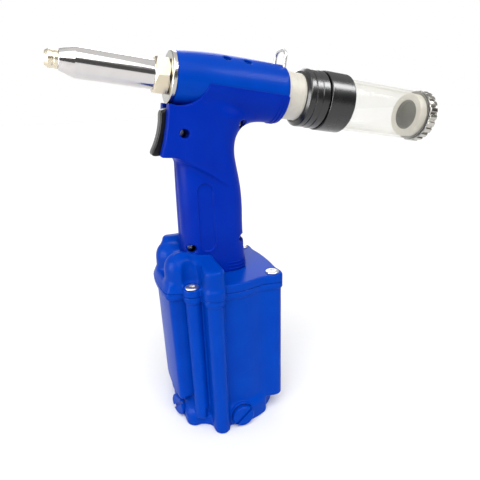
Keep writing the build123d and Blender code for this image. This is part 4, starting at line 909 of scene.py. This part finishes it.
# %% [markdown]
# ## Collector
# A cream adapter screws into the barrel, a black ring on it opens the air that draws spent stems back, and
# a black collar holds the clear tube. The adapter keeps the fine grooves that its turning tool left. The
# cap closes the tube with a cream spigot, and a black rubber buffer inside it stops the stems. The buffer
# is also painted shade: its black darkens the spigot's hollow, where shade falls.

# %% Collector pieces
GROOVE_HALF, GROOVE_ROUND = 0.25, 0.08


def grooves(start, end, out, pitch, depth):
    """Corners of a finely grooved run along a turned piece."""
    run = []
    for station in np.arange(start + pitch, end - pitch / 2, pitch):
        run += [(station - GROOVE_HALF, out, GROOVE_ROUND), (station, out - depth, GROOVE_ROUND),
                (station + GROOVE_HALF, out, GROOVE_ROUND)]
    return run


turn("collector_stub", [(79.5, 13.5, 0.2), (79.5, 15.45, 0.2), (85.6, 15.45, 0.1), (85.6, 18.0, 0.3)]
     + grooves(start=86.5, end=100.3, out=18.0, pitch=1.1, depth=0.15)
     + [(124.3, 18.0, 0.4), (124.3, 13.5, 0.3)], "tool_body", "cream", "collector_adapter")
turn("air_ring", [(100.5, 18.05, 0.2), (100.5, 19.8, 0.8), (102.6, 22.4, 1.7), (106.4, 22.4, 0.4),
                  (106.8, 21.6, 0.2), (107.4, 21.6, 0.2), (107.8, 22.2, 0.3), (112.6, 22.2, 0.3),
                  (113.2, 22.6, 0.4), (119.3, 22.6, 0.8), (119.3, 18.05, 0.2)],
     "ring_group", "black_gloss", "valve_ring")
turn("tube_collar", [(120.3, 18.05, 0.2), (120.3, 23.4, 0.9), (142.3, 23.4, 0.9), (142.3, 20.65, 0.3),
                     (128.3, 20.65, 0.2), (128.3, 16.0, 0.3), (124.8, 16.0, 0.3), (124.8, 18.05, 0.2)],
     "collector", "black_gloss", "collector_collar")
turn("clear_tube", [(128.3, 18.6, 0.3), (128.3, 20.6, 0.3), (219.2, 20.6, 0.3), (219.2, 18.6, 0.3)],
     "collector", "clear", "collector_tube")
turn("cap_spigot", [(212.3, 12.7, 0.8), (212.3, 18.4, 0.9), (220.6, 18.4, 0.1), (220.6, 12.7, 0.1)],
     "cap_group", "cream")
turn("cap_body", [(220.7, 0.0, 0.0), (220.7, 20.9, 0.4), (222.0, 20.9, 0.3), (222.0, 20.0, 0.2),
                  (227.6, 20.0, 0.3), (227.6, 20.9, 0.3), (228.7, 20.9, 0.6), (228.7, 0.0, 0.0)],
     "cap_group", "nickel", "collector_cap")
# The buffer's black rubber is partly painted shade: it darkens the spigot's hollow, where shade falls.
turn("cap_buffer", [(212.9, 11.6, 0.3), (212.9, 12.6, 0.2), (220.6, 12.6, 0.1), (220.6, 0.0, 0.0),
                    (216.5, 0.0, 0.0), (216.5, 11.2, 0.5)], "cap_group", "rubber")

# %% [markdown]
# ## Trees that copy and sweep
# Ribs, screws and beads repeat or follow a path, which is what Geometry Nodes are for. Each tree here has
# named inputs, ends by realizing its copies and setting the finish, and runs on a small carrier mesh. The
# result is taken as a plain mesh, so that nothing live is left on the piece. The shape that a tree copies
# is a pattern: an object that is taken out of the scene after the last piece.

# %% Tools for node trees
def new_tree(name, sockets):
    """A Geometry Nodes tree with these named inputs, and its group's input and output nodes."""
    tree = bpy.data.node_groups.new(name, "GeometryNodeTree")
    for label, kind in sockets:
        tree.interface.new_socket(label, in_out="INPUT", socket_type="NodeSocket" + kind)
    tree.interface.new_socket("Geometry", in_out="OUTPUT", socket_type="NodeSocketGeometry")
    return tree, tree.nodes.new("NodeGroupInput").outputs, tree.nodes.new("NodeGroupOutput").inputs


def end_tree(tree, geometry, finish_socket, output):
    """Realizes a tree's instances, sets the finish and links the result to its output."""
    real = Wire.make(tree, "GeometryNodeRealizeInstances", None, {"Geometry": geometry})
    done = real.node("GeometryNodeSetMaterial", None, {"Geometry": real, "Material": Wire(finish_socket)})
    plug(output["Geometry"], done)


def grow(name, tree, carrier, **inputs):
    """Runs a tree on a carrier mesh and returns the result as a plain mesh."""
    thing = bpy.data.objects.new(name, carrier)
    bpy.context.scene.collection.objects.link(thing)
    modifier = thing.modifiers.new(name, "NODES")
    modifier.node_group = tree
    for socket in tree.interface.items_tree:
        if socket.in_out == "INPUT" and socket.name in inputs:
            modifier[socket.identifier] = inputs[socket.name]
    graph = bpy.context.evaluated_depsgraph_get()
    mesh = bpy.data.meshes.new_from_object(thing.evaluated_get(graph), depsgraph=graph)
    bpy.data.objects.remove(thing)
    mesh.name = name
    return mesh


def pattern(name, mesh):
    """An object for a tree to copy, kept in a list until it is taken out again."""
    thing = bpy.data.objects.new(name, mesh)
    bpy.context.scene.collection.objects.link(thing)
    patterns.append(thing)
    return thing


patterns = []
print("tree tools ready")

# %% [markdown]
# ## Ribs on the cap
# The cap is pulled off by hand, so its rim is ribbed. The tree makes a ring of points, puts one rib on
# each and turns it with its place on the ring. Its inputs are the rib, their number, the ring's radius and
# the finish.

# %% A ring of ribs
rib_tree, given, result = new_tree("ring of ribs", [("Rib", "Object"), ("Count", "Int"),
                                                    ("Radius", "Float"), ("Finish", "Material")])
count, radius = Wire(given["Count"]), Wire(given["Radius"])
ring = Wire.make(rib_tree, "GeometryNodeMeshCircle", None, {"Vertices": count, "Radius": radius})
step = ring.sum("DIVIDE", 2 * math.pi, count)
spin = ring.node("ShaderNodeCombineXYZ", None, {"Z": ring.node("GeometryNodeInputIndex") * step})
rib_shape = ring.node("GeometryNodeObjectInfo", None, {"Object": Wire(given["Rib"])}, out="Geometry")
ribs = ring.node("GeometryNodeInstanceOnPoints", None,
                 {"Points": ring, "Instance": rib_shape, "Rotation": spin})
end_tree(rib_tree, ribs, given["Finish"], result)
print("ring of ribs:", len(rib_tree.nodes), "nodes")

# %% Ribs of the cap
RIB_COUNT, RIB_RING, RIB_STATION = 22, 20.1, 224.7


def rib_bar(name, deep, wide, long, soft):
    """A bar with round edges, in millimetres, its long side along z."""
    work = bmesh.new()
    bmesh.ops.create_cube(work, size=1.0)
    bmesh.ops.scale(work, verts=work.verts, vec=Vector((deep, wide, long)) * MM)
    bmesh.ops.bevel(work, geom=work.edges, offset=soft * MM, segments=4, affect="EDGES", profile=0.5)
    mesh = bpy.data.meshes.new(name)
    work.to_mesh(mesh)
    work.free()
    mesh.shade_smooth()
    return mesh


def into_head(mesh, station):
    """Lays a mesh made about the z axis onto the head's axis at a station."""
    local = np.array([tuple(v.co) for v in mesh.vertices]) / MM
    placed = head_point(station + local[:, 2], -local[:, 0], local[:, 1]) * MM
    for vertex, place in zip(mesh.vertices, placed):
        vertex.co = place


rib = pattern("cap rib", rib_bar("cap rib", deep=3.4, wide=3.7, long=7.6, soft=0.5))
cap_ribs = grow("cap_ribs", rib_tree, bpy.data.meshes.new("cap rib carrier"), Rib=rib, Count=RIB_COUNT,
                Radius=RIB_RING * MM, Finish=paint["nickel"])
into_head(cap_ribs, RIB_STATION)
settle("cap_ribs", cap_ribs, "cap_group", "nickel")

# %% [markdown]
# ## Screws
# Four button-head screws hold the cover, four more close the grip, and two small ones let air out of the
# oil. Each kind is one screw, drawn once with its hexagon socket and copied onto its points by a second
# small tree. A screw is a stack of rings, each a height and a radius, and its socket is two more rings.

# %% Screws on points
on_points, given, result = new_tree("screws on points", [("Points", "Geometry"), ("Screw", "Object"),
                                                         ("Finish", "Material")])
screw_shape = Wire.make(on_points, "GeometryNodeObjectInfo", None, {"Object": Wire(given["Screw"])},
                        out="Geometry")
set_in = screw_shape.node("GeometryNodeInstanceOnPoints", None,
                          {"Points": Wire(given["Points"]), "Instance": screw_shape})
end_tree(on_points, set_in, given["Finish"], result)
SCREW_SIDES, SHARP_EDGE = 60, math.radians(40)


def screw(name, rings, socket):
    """A screw about the z axis, closed at both ends, from round rings and hexagon rings."""
    angles = np.linspace(0.0, 2 * math.pi, SCREW_SIDES, endpoint=False)
    hexagon = 1.0 / np.cos((angles + math.pi / 6) % (math.pi / 3) - math.pi / 6)
    points = []
    for height, radius, shape in [(*ring, 1.0) for ring in rings] + [(*ring, hexagon) for ring in socket]:
        out = radius * shape
        points += np.stack([out * np.cos(angles), out * np.sin(angles), height + 0 * angles], axis=1).tolist()
    here = np.arange(len(points)).reshape(-1, SCREW_SIDES)
    on = np.roll(here, -1, axis=1)
    faces = np.stack([here[:-1], on[:-1], on[1:], here[1:]], axis=-1).reshape(-1, 4).tolist()
    faces += [here[0, ::-1].tolist(), here[-1].tolist()]
    mesh = bpy.data.meshes.new(name)
    mesh.from_pydata((np.array(points) * MM).tolist(), [], faces)
    close_poles(mesh)
    mesh.shade_smooth()
    mesh.set_sharp_from_angle(angle=SHARP_EDGE)
    return mesh


def set_screws(name, mesh, seats, slot, replaced):
    """Copies a screw onto its seats, in millimetres, as one piece of the fixed body."""
    carrier = bpy.data.meshes.new(name + " seats")
    carrier.from_pydata((np.asarray(seats, float) * MM).tolist(), [], [])
    screws = grow(name, on_points, carrier, Screw=pattern(mesh.name, mesh), Finish=paint[slot])
    settle(name, screws, "tool_body", slot, replaced)


print("screws on points:", len(on_points.nodes), "nodes")

# %% Screws of the cover, the grip and the barrel
cover_rings = [(-110.8, 2.6), (-110.3, 3.0), (0.0, 3.0), (0.0, 5.2), (0.2, 5.4), (0.6, 5.4), (1.0, 5.1),
               (1.35, 4.3), (1.5, 3.2), (1.55, 2.6)]
cover_screw = screw("cover screw", cover_rings, socket=[(1.55, 2.0), (0.4, 1.9)])
seats = [(x, y, DECK - (SCREW_DROP if x < 0 else 0.0))
         for x in (-PILLAR_AT, PILLAR_AT) for y in (-PILLAR_AT, PILLAR_AT)]
set_screws("cover_screws", cover_screw, seats, "bright_steel", "base_bolts")

grip_rings = [(-17.4, 1.7), (-17.0, 2.0), (0.0, 2.0), (0.0, 3.0), (0.2, 3.2), (1.4, 3.2), (1.8, 2.8),
              (1.9, 2.0)]
grip_screw = screw("grip screw", grip_rings, socket=[(1.9, 1.5), (0.8, 1.4)])
for vertex in grip_screw.vertices:
    vertex.co = (vertex.co.x, -vertex.co.z, vertex.co.y)
seats = [(x, -seat, z) for x, z, seat in SCREW_SPOTS]
set_screws("grip_screws", grip_screw, seats, "bright_steel", "handle_screws")

OIL_SEAT = 18.2
oil_rings = [(-3.6, 1.6), (0.0, 1.8), (0.0, 2.4), (0.2, 2.6), (1.2, 2.6), (1.5, 2.3)]
oil_screw = screw("oil screw", oil_rings, socket=[(1.5, 1.3), (0.6, 1.2)])
outward = -math.sin(OIL_ANGLE) * ACROSS + math.cos(OIL_ANGLE) * HEAD_UP
tilted = np.stack([HEAD_DIR, np.cross(outward, HEAD_DIR), outward], axis=1)
for vertex in oil_screw.vertices:
    vertex.co = tilted @ np.array(vertex.co)
seats = head_point(OIL_SCREWS, -OIL_SEAT * math.sin(OIL_ANGLE), OIL_SEAT * math.cos(OIL_ANGLE))
set_screws("bleed_screws", oil_screw, seats, "blue_paint", "oil_screws")

# %% [markdown]
# ## The hanger
# The hanger is a wire bent into an arch over the rear of the barrel. It follows a path, so a third tree
# sweeps a round section along its carrier's edges. The fine beads on the grip use the same tree.

# %% Sweep a round section
SECTION_SIDES = 12
sweep, given, result = new_tree("bead along a path", [("Path", "Geometry"), ("Radius", "Float"),
                                                      ("Finish", "Material")])
path = Wire.make(sweep, "GeometryNodeMeshToCurve", None, {"Mesh": Wire(given["Path"])})
section = path.node("GeometryNodeCurvePrimitiveCircle", None,
                    {"Resolution": SECTION_SIDES, "Radius": Wire(given["Radius"])})
bead = path.node("GeometryNodeCurveToMesh", None,
                 {"Curve": path, "Profile Curve": section, "Fill Caps": True})
end_tree(sweep, bead, given["Finish"], result)


def beads(name, paths, radius, slot, *replaced):
    """One piece of round beads along paths of points in millimetres, on the fixed body."""
    carrier = bpy.data.meshes.new(name + " paths")
    starts = np.cumsum([0] + [len(p) for p in paths])
    edges = [(a + k, a + k + 1) for a, p in zip(starts, paths) for k in range(len(p) - 1)]
    carrier.from_pydata((np.concatenate(paths) * MM).tolist(), edges, [])
    mesh = grow(name, sweep, carrier, Radius=radius * MM, Finish=paint[slot])
    mesh.shade_smooth()
    settle(name, mesh, "tool_body", slot, *replaced)


HANGER_FOOT, HANGER_RISE, HANGER_ARCH, HANGER_WIRE = 17.8, 5.0, 5.6, 1.25
arch = [(-HANGER_HALF, HANGER_FOOT)]
for t in np.linspace(0.0, math.pi, 25):
    arch.append((-HANGER_HALF * math.cos(t), BARREL_RADIUS + HANGER_RISE + HANGER_ARCH * math.sin(t)))
arch.append((HANGER_HALF, HANGER_FOOT))
bail = head_point(HANGER_AT, *np.transpose(arch))
beads("hanging_wire", [bail], HANGER_WIRE, "bright_steel", "hanger_loop")

# %% [markdown]
# ## Beads on the grip
# The moulded grip carries fine raised beads: three at its rear foot on the near side, two round the end of
# the cradle, one along each ledge beside the barrel and one round each side panel. Their paths are laid
# near the grip and then drawn onto it down the slope of its own field, so that they follow every swell.

# %% Beads on the grip
DRAW_STEPS = 12
FOOT_BEAD, CRADLE_BEAD, LEDGE_BEAD, PANEL_BEAD = 0.5, 0.55, 0.4, 0.45
FOOT_LEVELS, FOOT_START, FOOT_SIDE, FOOT_BEND, FOOT_OUT = (128.4, 131.1, 133.8), 2.0, 19.0, 14.0, 5.0
CRADLE_BEADS, CRADLE_OUT = (78.6, 81.4), 22.0
LEDGE_START, LEDGE_END, LEDGE_OUT, LEDGE_SUNK = 19.0, 83.0, 22.3, 0.1
PANEL_RIM, PANEL_SIDE = 6.6, 17.8


def onto_grip(points, sunk=0.0):
    """Moves points in millimetres onto the grip shell's surface, and a little under it."""
    points = np.array(points, float)
    for _ in range(DRAW_STEPS):
        points -= way_out(grip_shell, points, sunk)
    return points


def foot_path(level):
    """Along the grip's near side at a level, and round its rear corner."""
    bend = GRIP_REAR - GRIP_ROUND
    run = [(x, -FOOT_SIDE, level) for x in np.linspace(FOOT_START, bend, 15)]
    for a in np.radians(np.linspace(-88.0, -12.0, 20)):
        run.append((bend + FOOT_BEND * math.cos(a), -FOOT_OUT + FOOT_BEND * math.sin(a), level))
    return run


def panel_path(side):
    """Round the edge of a side panel: a half circle at each end, and straight between them."""
    stadium = []
    for t in np.linspace(0.0, 2 * math.pi, 97):
        end = PANEL_HIGH - PANEL_HALF if math.sin(t) >= 0 else PANEL_LOW + PANEL_HALF
        stadium.append((PANEL_X + PANEL_RIM * math.cos(t), side * PANEL_SIDE, end + PANEL_RIM * math.sin(t)))
    return stadium + stadium[:1]


beads("grip_foot_beads", [onto_grip(foot_path(level)) for level in FOOT_LEVELS], FOOT_BEAD, "blue_shell")
around = np.radians(np.linspace(100.0, 260.0, 81))
lines = [head_point(station, -CRADLE_OUT * np.sin(around), CRADLE_OUT * np.cos(around))
         for station in CRADLE_BEADS]
beads("cradle_end_beads", [onto_grip(line) for line in lines], CRADLE_BEAD, "blue_shell")
lines = [head_point(np.linspace(LEDGE_START, LEDGE_END, 60), side * LEDGE_OUT, LEDGE) for side in (-1, 1)]
beads("cradle_ledge_beads", [onto_grip(line, LEDGE_SUNK) for line in lines], LEDGE_BEAD, "blue_shell")
beads("side_panel_rims", [onto_grip(panel_path(side)) for side in (-1, 1)], PANEL_BEAD, "blue_shell")
for thing in patterns:
    bpy.data.objects.remove(thing)
print("patterns taken out", len(patterns))

# %% [markdown]
# ## Floor and sky
# Glossy paint and chrome show what stands round them more than their own colour. So the sky is split by
# the Light Path: the eye sees plain white, as in a studio, while what reaches the tool is bright overhead
# and behind, and dark in front, which keeps the blue deep and draws the dark band on the chrome.

# %% Floor and sky
FLOOR_HALF = 4.0
# Grey levels by height, overhead and on the backdrop, and how the backdrop fades in towards the rear
OVERHEAD = [(0.0, 0.12), (0.35, 0.1), (0.62, 0.45), (0.9, 0.9)]
BACKDROP = [(0.0, 0.95), (0.16, 0.8), (0.34, 0.12), (0.6, 0.05)]
BEHIND = [(0.25, 0.0), (0.62, 1.0)]


def plain_floor(half):
    """A flat square floor at z = 0, with a pale finish."""
    mesh = bpy.data.meshes.new("floor")
    square = [(-half, -half, 0), (half, -half, 0), (half, half, 0), (-half, half, 0)]
    mesh.from_pydata(square, [], [(0, 1, 2, 3)])
    floor = bpy.data.objects.new("floor", mesh)
    bpy.context.scene.collection.objects.link(floor)
    mesh.materials.append(finish("pale floor", {}, lambda place: {
        "Base Color": tint(noise(place, 6.0), (0.88, 0.88, 0.88), (0.92, 0.92, 0.92)),
        "Roughness": 0.6 + 0.2 * noise(place, 30.0)}))


def grey_ramp(wire, stops):
    """A grey level by steps of a wire from 0 to 1."""
    greys = [(place, (level, level, level, 1.0)) for place, level in stops]
    return wire.node("ShaderNodeValToRGB", {"stops": greys}, {"Fac": wire})


def studio_sky():
    """A white backdrop for the eye. For what it lights: bright overhead and behind, dark in front."""
    world = bpy.data.worlds.new("studio")
    world.use_nodes = True
    tree = world.node_tree
    way = Wire.make(tree, "ShaderNodeTexCoord", out="Generated")
    height, depth = (way.node("ShaderNodeSeparateXYZ", None, {"Vector": way}, out=axis) for axis in "ZY")
    glow = grey_ramp(height, OVERHEAD) + grey_ramp(height, BACKDROP) * grey_ramp(0.5 * depth + 0.5, BEHIND)
    seen = way.node("ShaderNodeLightPath", None, None, out="Is Camera Ray")
    tree.nodes["Background"].inputs["Color"].default_value = (1.0, 1.0, 1.0, 1.0)
    plug(tree.nodes["Background"].inputs["Strength"], seen + (1 - seen) * glow)
    bpy.context.scene.world = world


plain_floor(FLOOR_HALF)
studio_sky()
bpy.context.scene.view_settings.view_transform = "Standard"
print("floor of", 2 * FLOOR_HALF, "metres under a white sky")

# %% [markdown]
# ## Lights and camera
# A soft sun from above does most of the lighting, with a weak key panel near the camera. The other panels
# stand to the left, behind and on the right, and only show as reflections: they draw the pale zones on the
# front box and the deck, and the bright line along the barrel. The camera stands where the photograph was
# taken from.

# %% Lights and camera
AIM, HEAD_AIM = (0.0, 0.0, 0.16), (0.05, 0.0, 0.26)
CAMERA_PLACE, CAMERA_TURN = (-0.1082, -0.3342, 0.2669), (71.19, 1.609, -21.39)
SENSOR, LENS = 36.0, 33.75
SUN_STRENGTH, SUN_SPREAD, SUN_TURN = 2.4, 60.0, (35.0, -15.0, 0.0)


def soft_panel(name, place, target, size, watts, diffuse=True):
    """A light of this width and height, pointed at a target, in metres."""
    data = bpy.data.lights.new(name, "AREA")
    data.shape = "RECTANGLE"
    data.size, data.size_y = size
    data.energy = watts
    light = bpy.data.objects.new(name, data)
    light.location = place
    light.rotation_euler = (Vector(target) - Vector(place)).to_track_quat("-Z", "Y").to_euler()
    light.visible_camera = False
    light.visible_diffuse = diffuse
    bpy.context.scene.collection.objects.link(light)


soft_panel("left panel", (-1.0, -0.1, 0.4), AIM, (0.7, 0.7), 18.0, diffuse=False)
soft_panel("back panel", (0.3, 1.3, 0.95), AIM, (0.9, 0.9), 10.0, diffuse=False)
soft_panel("key panel", (-0.5, -1.1, 1.1), AIM, (0.6, 0.6), 2.0)
soft_panel("strip panel", (0.72, -0.62, 1.1), HEAD_AIM, (0.9, 0.3), 15.0, diffuse=False)
daylight = bpy.data.lights.new("daylight", "SUN")
daylight.energy = SUN_STRENGTH
daylight.angle = math.radians(SUN_SPREAD)
sun = bpy.data.objects.new("daylight", daylight)
sun.rotation_euler = [math.radians(a) for a in SUN_TURN]
bpy.context.scene.collection.objects.link(sun)

camera_data = bpy.data.cameras.new("camera")
camera_data.sensor_width = SENSOR
camera_data.lens = LENS
camera = bpy.data.objects.new("camera", camera_data)
camera.location = CAMERA_PLACE
camera.rotation_euler = [math.radians(a) for a in CAMERA_TURN]
bpy.context.scene.collection.objects.link(camera)
bpy.context.scene.camera = camera
print("camera at", list(camera.location))
